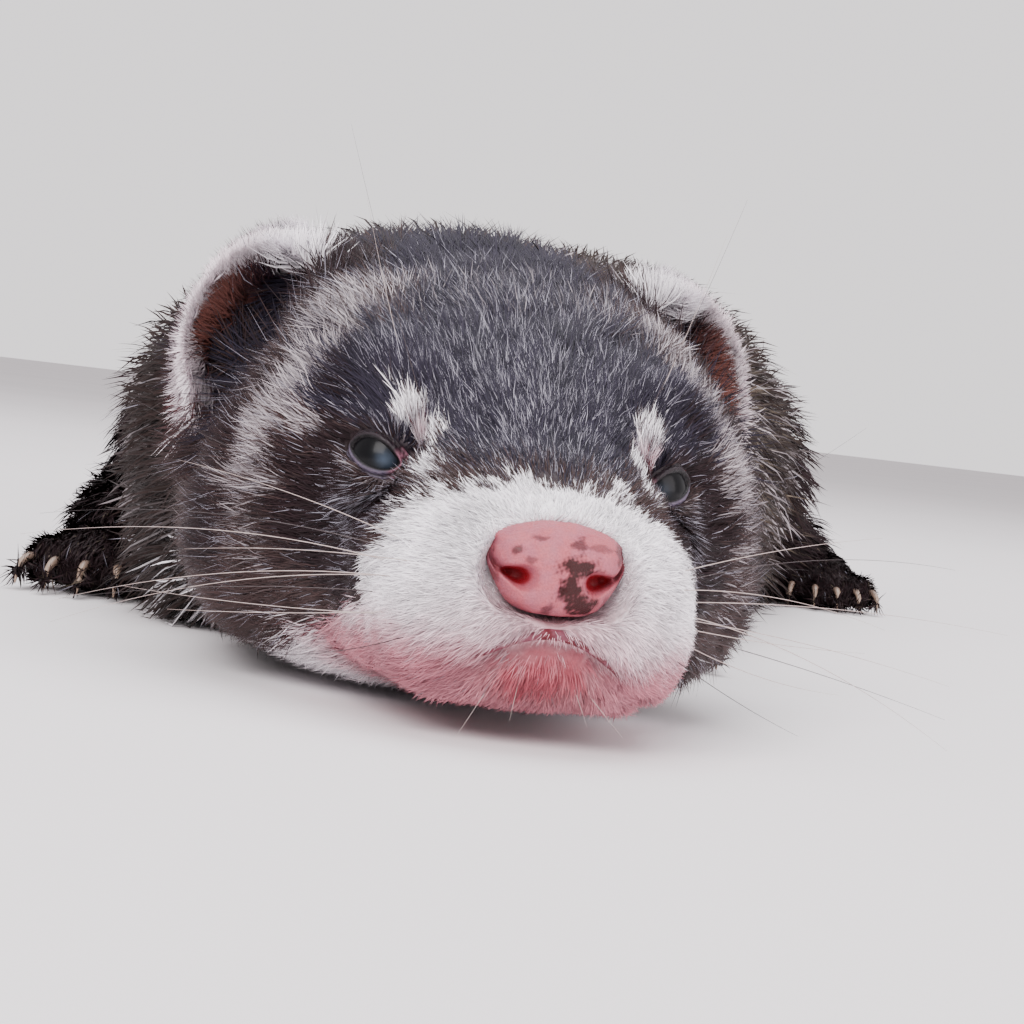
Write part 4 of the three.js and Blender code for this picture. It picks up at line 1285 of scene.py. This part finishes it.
class FaceSettings(bpy.types.PropertyGroup):
    """The sizes of lips and whiskers and the colours of the bare places"""

    lip_radius: length_prop("Lip radius", "Half the thickness of the line of the lips", 0.42)
    whisker_radius: length_prop("Whisker radius", "Half the thickness of a whisker at its root", 0.042)
    whisker_length: share_prop("Whisker length", "How long the whiskers are")
    nose: colour_prop("Nose", "The nose pad", tint(178, 92, 102))
    # Also paints the shade in the nostrils' slits.
    blotch: colour_prop("Blotch", "The dark patches on the nose pad", tint(50, 5, 7))
    nostril: colour_prop("Nostril", "The inside of the nostrils", tint(146, 28, 38))
    lid: colour_prop("Lid", "The bare skin of the lids", tint(98, 88, 106))
    # The lids' rim colour also paints the shade at the bottom of the nostrils.
    rim: colour_prop("Lid rim", "The moist rim of the lids", tint(14, 10, 13))
    # Painted shade for the upper lid and the lid's fold; the dark whiskers' tips take this colour too.
    brow: colour_prop("Upper lid", "The painted shade on the upper lid and in its fold", tint(30, 20, 24))
    corner: colour_prop("Eye corner", "The skin at the inner corner of an eye", tint(158, 104, 122))
    eye: colour_prop("Eye", "The dark of the eye", tint(7, 7, 10))
    iris: colour_prop("Iris", "The ring round the pupil", tint(20, 16, 18))
    # The colour of the painted reflection on the eyeballs.
    haze: colour_prop("Eye haze", "The blue-grey painted reflection on the eye", tint(84, 98, 116))
    # The lips' dark red: partly their own colour, partly painted shadow in the mouth's crease.
    lip_and_mouth_shadow: colour_prop("Lip", "The line of the mouth", tint(92, 22, 32))
    claw: colour_prop("Claw", "The claws", tint(196, 170, 150))
    whisker: colour_prop("Whisker", "The pale whiskers", tint(186, 170, 166))
    dark_whisker: colour_prop("Dark whisker", "The dark whiskers", tint(60, 44, 46))


class StageSettings(bpy.types.PropertyGroup):
    """The camera, the floor and the light"""

    distance: length_prop("Camera distance", "From the eyes to the camera", 220)
    yaw: angle_prop("Camera yaw", "Turn to the animal's right", 10.4)
    height: angle_prop("Camera height", "Angle above level", 2.1)
    roll: angle_prop("Camera roll", "Lean of the view", 6.7)
    lens: FloatProperty(name="Lens", description="Focal length in mm on a 36 mm frame", default=96.2)
    light: share_prop("Light", "How strong the lamps are")
    floor: colour_prop("Floor", "The plain floor and background", tint(240, 235, 237))


def feed(tree, socket, source):
    """Links the socket to a source socket, or gives it a value."""
    if isinstance(source, bpy.types.NodeSocket):
        tree.links.new(source, socket)
    else:
        socket.default_value = source


def add_mix(tree, share, first, second, blend="MIX"):
    """A colour mix node's result."""
    node = tree.nodes.new("ShaderNodeMix")
    node.data_type = "RGBA"
    node.blend_type = blend
    for index, source in ((0, share), (6, first), (7, second)):
        feed(tree, node.inputs[index], source)
    return node.outputs[2]


def add_math(tree, operation, *values):
    """A math node's result."""
    node = tree.nodes.new("ShaderNodeMath")
    node.operation = operation
    for index, value in enumerate(values):
        feed(tree, node.inputs[index], value)
    return node.outputs[0]


def add_range(tree, value, low, high, to_low=0.0, to_high=1.0):
    """The value moved smoothly from one range to another."""
    node = tree.nodes.new("ShaderNodeMapRange")
    node.interpolation_type = "SMOOTHSTEP"
    for index, source in enumerate((value, low, high, to_low, to_high)):
        feed(tree, node.inputs[index], source)
    return node.outputs[0]


def add_noise(tree, scale, detail=3.0, stretch=None):
    """Noise over the object's own space. The scale is in swells per metre."""
    where = tree.nodes.new("ShaderNodeTexCoord").outputs["Object"]
    if stretch:
        bend = tree.nodes.new("ShaderNodeMapping")
        bend.inputs["Scale"].default_value = stretch
        tree.links.new(where, bend.inputs["Vector"])
        where = bend.outputs["Vector"]
    node = tree.nodes.new("ShaderNodeTexNoise")
    tree.links.new(where, node.inputs["Vector"])
    node.inputs["Scale"].default_value = scale
    node.inputs["Detail"].default_value = detail
    return node.outputs["Fac"]


def add_value(tree, name):
    """A value that the mesh carries at its vertices."""
    node = tree.nodes.new("ShaderNodeAttribute")
    node.attribute_name = name
    return node.outputs["Fac"]


def new_group(name, inputs, outputs):
    """An empty shader node group with named sockets, and the two ends inside it."""
    group = bpy.data.node_groups.new(name, "ShaderNodeTree")
    for label, kind, value in inputs:
        socket = group.interface.new_socket(name=label, in_out="INPUT", socket_type=kind)
        socket.default_value = value
    for label, kind in outputs:
        group.interface.new_socket(name=label, in_out="OUTPUT", socket_type=kind)
    return group, group.nodes.new("NodeGroupInput").outputs, group.nodes.new("NodeGroupOutput").inputs


def use_group(tree, name, sources):
    """A node that shows the group of this name, fed with these sources."""
    node = tree.nodes.new("ShaderNodeGroup")
    node.node_tree = bpy.data.node_groups[name]
    for label, source in sources.items():
        feed(tree, node.inputs[label], source)
    return node.outputs


FLOAT = "NodeSocketFloat"
COLOUR = "NodeSocketColor"
GREY = (0.5, 0.5, 0.5, 1.0)
MARKS = ("Crown", "Frost", "Mask", "White", "Pink", "Rust", "Hollow")


def make_markings_group():
    """Coat Markings: the colour of the coat from its markings, the same on the skin and on the tufts."""
    inputs = [("Ground", COLOUR, GREY), ("Cup", COLOUR, GREY)]
    inputs += [(f"{mark} Colour", COLOUR, GREY) for mark in MARKS[:-1]]
    inputs += [(mark, FLOAT, 0.0) for mark in MARKS]
    group, given, result_sockets = new_group("Coat Markings", inputs, [("Colour", COLOUR)])
    result = given["Ground"]
    for mark in ("Crown", "Frost", "Mask", "White", "Pink"):
        result = add_mix(group, given[mark], result, given[f"{mark} Colour"])
    result = add_mix(group, given["Hollow"], result, given["Cup"])
    result = add_mix(group, given["Rust"], result, given["Rust Colour"])
    group.links.new(result, result_sockets["Colour"])


def add_shade(tree, colour, brightness):
    """The colour, brighter or darker by a value."""
    grey = tree.nodes.new("ShaderNodeCombineColor")
    for channel in grey.inputs:
        tree.links.new(brightness, channel)
    return add_mix(tree, 1.0, colour, grey.outputs[0], "MULTIPLY")


def make_hair_group():
    """Hair Tone: one tuft's own tone, paler or darker than its neighbours, and darker at its root as painted
    shade.
    """
    inputs = [
        ("Colour", COLOUR, GREY), ("Root Colour", COLOUR, GREY), ("Root Share", FLOAT, 0.0),
        ("Tick Colour", COLOUR, GREY), ("Tick Share", FLOAT, 0.0), ("Along", FLOAT, 0.5),
        ("Luck", FLOAT, 0.5), ("Wave", FLOAT, 0.5), ("Variety", FLOAT, 0.5), ("Root Shade", FLOAT, 0.5),
    ]
    group, given, result_sockets = new_group("Hair Tone", inputs, [("Colour", COLOUR), ("Roughness", FLOAT)])
    near_root = add_range(group, given["Along"], 0.1, 0.75, 1.0, 0.0)
    root_mix = add_math(group, "MULTIPLY", near_root, given["Root Share"])
    result = add_mix(group, root_mix, given["Colour"], given["Root Colour"])
    limit = add_math(group, "SUBTRACT", 1.0, given["Tick Share"])
    tick = add_math(group, "GREATER_THAN", given["Luck"], limit)
    result = add_mix(group, tick, result, given["Tick Colour"])
    shuffled = add_math(group, "FRACT", add_math(group, "MULTIPLY", given["Luck"], 17.3))
    own = add_math(group, "MULTIPLY", add_math(group, "SUBTRACT", shuffled, 0.5), given["Variety"])
    swell = add_math(group, "MULTIPLY", add_math(group, "SUBTRACT", given["Wave"], 0.5), 0.35)
    bright = add_math(group, "ADD", 1.0, add_math(group, "ADD", own, swell))
    # Painted shade: each tuft is darker towards its root, where the hairs around it would shadow it.
    shade = add_range(group, given["Along"], 0.0, 0.8, given["Root Shade"], 1.0)
    result = add_shade(group, result, add_math(group, "MULTIPLY", bright, shade))
    group.links.new(result, result_sockets["Colour"])
    group.links.new(add_range(group, shuffled, 0.0, 1.0, 0.42, 0.68), result_sockets["Roughness"])


def make_mottle_group():
    """Mottle: uneven colour, pores and fine folds for bare skin."""
    inputs = [
        ("Colour", COLOUR, GREY), ("Second Colour", COLOUR, GREY), ("Amount", FLOAT, 0.5),
        ("Large", FLOAT, 0.5), ("Fine", FLOAT, 0.5),
    ]
    outputs = [("Colour", COLOUR), ("Height", FLOAT), ("Roughness", FLOAT)]
    group, given, result_sockets = new_group("Mottle", inputs, outputs)
    share = add_math(group, "MULTIPLY", add_range(group, given["Large"], 0.35, 0.65), given["Amount"])
    result = add_mix(group, share, given["Colour"], given["Second Colour"])
    result = add_shade(group, result, add_range(group, given["Fine"], 0.3, 0.7, 0.86, 1.1))
    group.links.new(result, result_sockets["Colour"])
    group.links.new(add_range(group, given["Fine"], 0.3, 0.75), result_sockets["Height"])
    group.links.new(add_range(group, given["Fine"], 0.3, 0.7, 0.36, 0.6), result_sockets["Roughness"])


def new_material(name, **constants):
    """A material with its Principled shader, whose plain sockets take these values."""
    material = bpy.data.materials.new(name)
    material.use_nodes = True
    shader = material.node_tree.nodes["Principled BSDF"]
    for label, value in constants.items():
        shader.inputs[label.replace("_", " ")].default_value = value
    return material, material.node_tree, shader.inputs


def add_bump(tree, sockets, height, strength, distance):
    """Feeds the shader's normal from a height."""
    bump = tree.nodes.new("ShaderNodeBump")
    bump.inputs["Strength"].default_value = strength
    bump.inputs["Distance"].default_value = distance
    tree.links.new(height, bump.inputs["Height"])
    tree.links.new(bump.outputs["Normal"], sockets["Normal"])


def marked_colour(tree, colours, ground):
    """The coat's colour by its markings."""
    sources = {"Ground": ground, "Cup": colours.cup}
    for mark in MARKS[:-1]:
        sources[f"{mark} Colour"] = getattr(colours, mark.lower())
    for mark in MARKS:
        sources[mark] = add_value(tree, mark.lower())
    return use_group(tree, "Coat Markings", sources)["Colour"]


def coat_material(name, ground, variety, painted_root_shade):
    """The tufts' material: its ground colour, its markings, each tuft's own tone and painted shade towards
    its root.
    """
    colours = bpy.context.scene.ferret_coat
    material, tree, sockets = new_material(name, Specular_IOR_Level=0.12)
    sources = {
        "Colour": marked_colour(tree, colours, ground), "Root Colour": colours.under,
        "Root Share": add_value(tree, "under"), "Tick Colour": colours.tick,
        "Tick Share": add_value(tree, "tick"), "Variety": variety, "Root Shade": painted_root_shade,
    }
    for label in ("Along", "Luck", "Wave"):
        sources[label] = add_value(tree, label.lower())
    tone = use_group(tree, "Hair Tone", sources)
    tree.links.new(tone["Colour"], sockets["Base Color"])
    tree.links.new(tone["Roughness"], sockets["Roughness"])
    return material


def skin_material():
    """The skin below the coat: the markings, darkened as painted shade from the coat over it, with pores and
    the lie of short hair.
    """
    colours = bpy.context.scene.ferret_coat
    material, tree, sockets = new_material("skin", Subsurface_Weight=0.06, Specular_IOR_Level=0.15)
    sockets["Subsurface Radius"].default_value = (0.6 * MM, 0.25 * MM, 0.2 * MM)
    sockets["Subsurface Scale"].default_value = 1.0
    colour = marked_colour(tree, colours, colours.cheek)
    mottle = use_group(tree, "Mottle", {
        "Colour": colour, "Second Colour": colours.guard, "Amount": 0.15,
        "Large": add_noise(tree, 240.0), "Fine": add_noise(tree, 2600.0, 4.0, (1.0, 0.35, 1.0)),
    })
    # Painted shade: the skin's colour is darkened as if the coat over it shadowed it.
    dim = add_mix(tree, 1.0, mottle["Colour"], (0.78, 0.73, 0.73, 1.0), "MULTIPLY")
    tree.links.new(dim, sockets["Base Color"])
    tree.links.new(mottle["Roughness"], sockets["Roughness"])
    add_bump(tree, sockets, mottle["Height"], 0.5, 0.12 * MM)
    return material


def bare_material(name, first, second, layers, pores, gloss, bump, coat=0.0, soft=0.25):
    """Bare moist skin: two mottled colours, and further colours laid over by the mesh's own values."""
    material, tree, sockets = new_material(
        name, Subsurface_Weight=soft, Coat_Weight=coat, Specular_IOR_Level=0.25, Coat_Roughness=0.18
    )
    sockets["Subsurface Radius"].default_value = (0.9 * MM, 0.3 * MM, 0.25 * MM)
    sockets["Subsurface Scale"].default_value = 1.0
    mottle = use_group(tree, "Mottle", {
        "Colour": first, "Second Colour": second, "Amount": 0.35,
        "Large": add_noise(tree, pores), "Fine": add_noise(tree, pores * 7),
    })
    result = mottle["Colour"]
    for value, colour in layers:
        result = add_mix(tree, add_value(tree, value), result, colour)
    tree.links.new(result, sockets["Base Color"])
    tree.links.new(add_math(tree, "MULTIPLY", mottle["Roughness"], gloss), sockets["Roughness"])
    add_bump(tree, sockets, mottle["Height"], 0.6, bump * MM)
    return material


def eye_material():
    """The eye: dark iris and pupil under a glossy cornea, with a faint painted blue-grey reflection."""
    face = bpy.context.scene.ferret_face
    material, tree, sockets = new_material(
        "eye", Coat_Weight=0.22, Coat_Roughness=0.16, Coat_IOR=1.38, Roughness=0.3, Specular_IOR_Level=0.1
    )
    fine = add_noise(tree, 1500.0, 4.0)
    ring = add_mix(tree, add_range(tree, fine, 0.35, 0.7), face.iris, face.eye)
    result = add_mix(tree, add_value(tree, "iris"), face.eye, ring)
    result = add_mix(tree, add_value(tree, "pupil"), result, face.eye)
    # Painted reflection: the blue-grey spot mixed into the eye's colour.
    bloom = add_math(tree, "MULTIPLY", add_value(tree, "haze"), add_range(tree, fine, 0.2, 0.8, 0.5, 0.7))
    result = add_mix(tree, bloom, result, face.haze)
    tree.links.new(result, sockets["Base Color"])
    return material


def strand_material(name, first, second, roughness):
    """Claws and whiskers: one colour at the root, another at the tip, with fine streaks."""
    material, tree, sockets = new_material(name, Specular_IOR_Level=0.5)
    streaks = add_range(tree, add_noise(tree, 1800.0, 3.0, (1.0, 0.2, 1.0)), 0.3, 0.7)
    colour = add_mix(tree, add_value(tree, "along"), first, second)
    dim = add_mix(tree, 1.0, colour, (0.82, 0.78, 0.76, 1.0), "MULTIPLY")
    tree.links.new(add_mix(tree, streaks, dim, colour), sockets["Base Color"])
    tree.links.new(add_range(tree, streaks, 0, 1, roughness, roughness + 0.15), sockets["Roughness"])
    return material


def floor_material():
    """A plain pale floor."""
    stage = bpy.context.scene.ferret_stage
    material, tree, sockets = new_material("floor", Roughness=0.85, Specular_IOR_Level=0.15)
    paler = [min(1, channel * 1.04) for channel in stage.floor[:3]] + [1.0]
    cloudy = add_range(tree, add_noise(tree, 3.0), 0.3, 0.7)
    tree.links.new(add_mix(tree, cloudy, stage.floor, paler), sockets["Base Color"])
    return material


def as_piece(piece, slot, *nodes):
    """The piece rides on the body and stands for the nodes, which are hidden. The slot is not used."""
    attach(piece, "root")
    if nodes:
        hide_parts(*nodes)
    return piece


class FERRET_OT_skin(bpy.types.Operator):
    """One skin over all the flesh, inside it by the depth of the coat"""

    bl_idname = "ferret.skin"
    bl_label = "Skin"

    def execute(self, context):
        make_markings_group()
        make_hair_group()
        make_mottle_group()
        made["shape"] = make_surface()
        surface = made["shape"]["surface"]
        mesh = build_mesh("skin", surface.points, [surface.quads])
        marks = markings(surface.points, made["shape"]["normals"], made["shape"]["parts"])
        for key, values in marks.items():
            set_values(mesh, key, values)
        made["skin"] = link("skin", mesh, skin_material())
        as_piece(made["skin"], "body_coat", *FLESH)
        return {"FINISHED"}


class FERRET_OT_eyes(bpy.types.Operator):
    """The eyeballs and their lids"""

    bl_idname = "ferret.eyes"
    bl_label = "Eyes and lids"

    def execute(self, context):
        face = context.scene.ferret_face
        eye = eye_material()
        # The upper lid and the fold take painted shade in the upper lid colour; rim and inner corner take
        # their own colours.
        layers = [("upper", face.brow), ("corner", face.corner), ("crease", face.brow), ("rim", face.rim)]
        lid = bare_material("lid", face.lid, face.brow, layers, 700.0, 0.9, 0.05, coat=0.05, soft=0.05)
        for side, hand in SIDES.items():
            ball = eyeball_mesh(f"eyeball_{side}", hand, EYE_RADIUS - EYEBALL_INSET)
            as_piece(link(ball.name, ball, eye), "eye", f"eye_{side}")
            lids = lid_mesh(f"lids_{side}", hand)
            as_piece(link(lids.name, lids, lid), "face_coat")
        return {"FINISHED"}


class FERRET_OT_nose(bpy.types.Operator):
    """The bare nose pad with its nostrils"""

    bl_idname = "ferret.nose"
    bl_label = "Nose pad"

    def execute(self, context):
        face = context.scene.ferret_face
        # The blotches are the pad's own colour; along the slits and deep in the nostrils the blotch and rim
        # colours are painted shade.
        layers = [("pigment", face.blotch), ("nostril", face.nostril), ("deep", face.rim)]
        material = bare_material(
            "nose", face.nose, face.corner, layers, 900.0, 0.95, 0.08, coat=0.08, soft=0.1
        )
        as_piece(link("nose_pad", nose_mesh("nose_pad"), material), "nose_skin", "nose")
        return {"FINISHED"}


class FERRET_OT_mouth(bpy.types.Operator):
    """The soft line of the lips, dark red as their own colour and as painted shadow in the mouth"""

    bl_idname = "ferret.mouth"
    bl_label = "Lips"

    def execute(self, context):
        face = context.scene.ferret_face
        material = bare_material("lip_and_mouth_shadow", face.lip_and_mouth_shadow, face.corner, [], 800.0, 0.8, 0.04, coat=0.1)
        line, radius = lip_line()
        as_piece(link("lips", tube_mesh("lips", [line], [radius], 10), material), "nose_skin")
        return {"FINISHED"}


# Each coat piece: its nodes, its reach from the nose, its side, its number of tufts, the rows of points
# along a tuft and what differs in the tufts' habit.
ANYWHERE = (0, 1e9)
HEAD_PIECES = [
    ("muzzle_fur", ("head",), (0, 17.4), 0, 50000, 2, {"lift": 0.9, "stray": 0.12}),
    ("face_fur_left", ("head",), (16.6, 30.5), 1, 48000, 2, {"stray": 0.1}),
    ("face_fur_right", ("head",), (16.6, 30.5), -1, 48000, 2, {"stray": 0.1}),
    ("temple_fur_left", ("head",), (29.5, 47.5), 1, 46000, 2, {"clump": 0.4, "wide": 0.85}),
    ("temple_fur_right", ("head",), (29.5, 47.5), -1, 46000, 2, {"clump": 0.4, "wide": 0.85}),
    ("crown_fur", ("head",), (46.0, 1e9), 0, 50000, 2, {"stray": 0.2, "clump": 0.45, "wide": 0.85}),
]
EAR_HABIT = {"stray": 0.2, "lift": 1.2, "roll": 0.6, "clump": 0.2}
EAR_PIECES = [(f"ear_fur_{side}", (f"ear_{side}",), ANYWHERE, 0, 17000, 2, EAR_HABIT) for side in SIDES]
TRUNK_PIECES = [
    ("neck_fur", ("neck",), ANYWHERE, 0, 16000, 3, {}), ("chest_fur", ("chest",), ANYWHERE, 0, 19000, 3, {}),
    ("belly_fur", ("belly",), ANYWHERE, 0, 20000, 3, {}), ("rump_fur", ("rump",), ANYWHERE, 0, 16000, 3, {}),
]
LIMB_PIECES = [
    ("tail_fur", TAIL, ANYWHERE, 0, 13000, 3, {"stray": 0.2, "lift": 1.1}),
    ("foreleg_fur", ("foreleg",), ANYWHERE, 0, 6000, 3, {}),
    ("hindleg_fur", ("hindleg",), ANYWHERE, 0, 8000, 3, {}),
    ("paw_fur", ("forepaw", "hindpaw"), ANYWHERE, 0, 15000, 2, {"stray": 0.1}),
]
MIDLINE_OVERLAP = 0.8


def chosen_vertices(nodes, reach, side):
    """The skin's vertices on these nodes, this far from the nose and on this side of the head."""
    shape = made["shape"]
    wanted = [number for number, node in enumerate(FLESH) if PLAIN[number] in nodes or node in nodes]
    points = shape["surface"].points
    away = from_nose(points)
    chosen = np.isin(shape["parts"], wanted) & (away >= reach[0]) & (away < reach[1])
    return chosen & (points[:, 0] * side > -MIDLINE_OVERLAP)


def grow_coat(pieces, material, slot, seed, unwrap):
    """The coat pieces of one list, in one material."""
    share = bpy.context.scene.ferret_coat.tufts / 100
    for number, (name, nodes, reach, side, tufts, rows, changes) in enumerate(pieces):
        chosen = chosen_vertices(nodes, reach, side)
        own_seed = seed + 10 * number
        piece = grow_tufts(name, chosen, int(tufts * share), rows, own_seed, material, unwrap, **changes)
        as_piece(piece, slot)


class FERRET_OT_head_coat(bpy.types.Operator):
    """The coat of the head: muzzle, face, temples and crown"""

    bl_idname = "ferret.head_coat"
    bl_label = "Head coat"

    def execute(self, context):
        material = coat_material("face_coat", context.scene.ferret_coat.cheek, 0.7, 0.66)
        grow_coat(HEAD_PIECES, material, "face_coat", 100, "round")
        return {"FINISHED"}


class FERRET_OT_ear_coat(bpy.types.Operator):
    """The short velvet of the ears and the hairs in their cups"""

    bl_idname = "ferret.ear_coat"
    bl_label = "Ear coat"

    def execute(self, context):
        material = coat_material("ear_coat", context.scene.ferret_coat.cheek, 0.3, 0.7)
        grow_coat(EAR_PIECES, material, "ear_coat", 200, "round")
        return {"FINISHED"}


class FERRET_OT_trunk_coat(bpy.types.Operator):
    """The coat of neck, chest, belly and rump: dark guard hairs over a pale undercoat"""

    bl_idname = "ferret.trunk_coat"
    bl_label = "Trunk coat"

    def execute(self, context):
        material = coat_material("body_coat", context.scene.ferret_coat.guard, 0.6, 0.6)
        grow_coat(TRUNK_PIECES, material, "body_coat", 300, "long")
        return {"FINISHED"}


class FERRET_OT_limb_coat(bpy.types.Operator):
    """The dark coat of legs, paws and tail"""

    bl_idname = "ferret.limb_coat"
    bl_label = "Limb coat"

    def execute(self, context):
        material = coat_material("dark_coat", context.scene.ferret_coat.limbs, 0.6, 0.6)
        grow_coat(LIMB_PIECES, material, "dark_coat", 400, "long")
        return {"FINISHED"}


class FERRET_OT_whiskers(bpy.types.Operator):
    """The whiskers of muzzle, brow, cheek and chin"""

    bl_idname = "ferret.whiskers"
    bl_label = "Whiskers"

    def execute(self, context):
        face = context.scene.ferret_face
        lines, radii, dark = whisker_lines()
        kinds = {
            "whiskers_pale": (False, face.whisker, face.whisker),
            "whiskers_dark": (True, face.dark_whisker, face.brow),
        }
        for name, (is_dark, first, second) in kinds.items():
            pick = [number for number, tone in enumerate(dark) if tone == is_dark]
            mesh = tube_mesh(name, [lines[number] for number in pick], [radii[number] for number in pick])
            as_piece(link(name, mesh, strand_material(name, first, second, 0.3)), "face_coat")
        return {"FINISHED"}


class FERRET_OT_claws(bpy.types.Operator):
    """The claws of all four paws"""

    bl_idname = "ferret.claws"
    bl_label = "Claws"

    def execute(self, context):
        face = context.scene.ferret_face
        material = strand_material("claw", face.dark_whisker, face.claw, 0.25)
        as_piece(link("claws", tube_mesh("claws", *claw_lines(), 10), material), "dark_coat")
        return {"FINISHED"}


# The stage, in metres. Each lamp: its place from the head, its size, its power and its colour.
FLOOR_HALF = 12.0
BACKDROP_STRENGTH = {"lighting": 1.0, "seen": 1.7}
LAMPS = {
    "key": ((-0.5, -0.8, 0.7), 0.7, 16.0, (1.0, 0.97, 0.97)),
    "fill": ((0.8, -0.6, 0.4), 0.8, 7.5, (1.0, 0.93, 0.95)),
    "top": ((0.1, 0.25, 0.95), 0.9, 10.0, (0.95, 0.97, 1.0)),
}
VIEW_ACROSS = -0.9 * MM
VIEW_UP = -4.1 * MM


class FERRET_OT_stage(bpy.types.Operator):
    """The plain floor, the soft light and the camera"""

    bl_idname = "ferret.stage"
    bl_label = "Stage"

    def execute(self, context):
        stage = context.scene.ferret_stage
        target = Vector(HEAD_ORIGIN * MM)
        self.add_floor(context.scene, stage)
        for name, (place, size, power, colour) in LAMPS.items():
            lamp = bpy.data.lights.new(name, "AREA")
            lamp.size, lamp.energy, lamp.color = size, power * stage.light, colour
            holder = bpy.data.objects.new(name, lamp)
            holder.location = target + Vector(place)
            holder.rotation_euler = (target - holder.location).to_track_quat("-Z", "Y").to_euler()
            context.scene.collection.objects.link(holder)
        self.add_camera(context.scene, stage, target)
        return {"FINISHED"}

    def add_floor(self, scene, stage):
        """The floor, and a backdrop of the same colour that is a little brighter where the camera sees it."""
        corners = [(x * FLOOR_HALF, y * FLOOR_HALF, 0) for x, y in ((-1, -1), (1, -1), (1, 1), (-1, 1))]
        mesh = bpy.data.meshes.new("floor")
        mesh.from_pydata(corners, [], [(0, 1, 2, 3)])
        link("floor", mesh, floor_material())
        scene.world = bpy.data.worlds.new("studio")
        scene.world.use_nodes = True
        tree = scene.world.node_tree
        backdrop = tree.nodes["Background"].inputs
        backdrop["Color"].default_value = (*stage.floor[:3], 1.0)
        seen = tree.nodes.new("ShaderNodeLightPath").outputs["Is Camera Ray"]
        strength = add_range(tree, seen, 0, 1, BACKDROP_STRENGTH["lighting"], BACKDROP_STRENGTH["seen"])
        tree.links.new(strength, backdrop["Strength"])

    def add_camera(self, scene, stage, target):
        """The camera in front of the face, turned, raised a little and leaning."""
        turn, rise, lean = stage.yaw, stage.height, stage.roll
        back = Vector((-math.sin(turn) * math.cos(rise), -math.cos(turn) * math.cos(rise), math.sin(rise)))
        right = Vector((math.cos(turn), -math.sin(turn), 0))
        up = back.cross(right)
        across_view = right * math.cos(lean) + up * math.sin(lean)
        up_view = up * math.cos(lean) - right * math.sin(lean)
        camera = bpy.data.cameras.new("camera")
        camera.lens = stage.lens
        camera.clip_start = 0.01
        holder = bpy.data.objects.new("camera", camera)
        place = target + across_view * VIEW_ACROSS + up_view * VIEW_UP + back * stage.distance
        turned = Matrix((across_view, up_view, back)).transposed().to_4x4()
        holder.matrix_world = Matrix.Translation(place) @ turned
        scene.collection.objects.link(holder)
        scene.camera = holder


PIECES = (
    FERRET_OT_stage, FERRET_OT_skin, FERRET_OT_eyes, FERRET_OT_nose, FERRET_OT_mouth, FERRET_OT_head_coat,
    FERRET_OT_ear_coat, FERRET_OT_trunk_coat, FERRET_OT_limb_coat, FERRET_OT_whiskers, FERRET_OT_claws,
)


class FERRET_PT_sidebar(bpy.types.Panel):
    """The ferret's pieces and their settings"""

    bl_idname = "FERRET_PT_sidebar"
    bl_label = "Ferret"
    bl_space_type = "VIEW_3D"
    bl_region_type = "UI"
    bl_category = "Ferret"

    def draw(self, context):
        column = self.layout.column()
        for piece in PIECES:
            column.operator(piece.bl_idname)
        for name, group in SETTINGS.items():
            box = self.layout.box()
            box.label(text=group.__doc__)
            for setting in group.__annotations__:
                box.prop(getattr(context.scene, name), setting)


SETTINGS = {"ferret_coat": CoatSettings, "ferret_face": FaceSettings, "ferret_stage": StageSettings}


def register():
    """Adds the settings, operators and panel."""
    for name, group in SETTINGS.items():
        bpy.utils.register_class(group)
        setattr(bpy.types.Scene, name, PointerProperty(type=group))
    for piece in PIECES:
        bpy.utils.register_class(piece)
    bpy.utils.register_class(FERRET_PT_sidebar)


def unregister():
    """Takes them away again."""
    bpy.utils.unregister_class(FERRET_PT_sidebar)
    for piece in reversed(PIECES):
        bpy.utils.unregister_class(piece)
    for name, group in SETTINGS.items():
        delattr(bpy.types.Scene, name)
        bpy.utils.unregister_class(group)


def main():
    """Registers the add-on and makes every piece in order."""
    register()
    for piece in PIECES:
        section, action = piece.bl_idname.split(".")
        getattr(getattr(bpy.ops, section), action)()


if __name__ == "__main__":
    main()
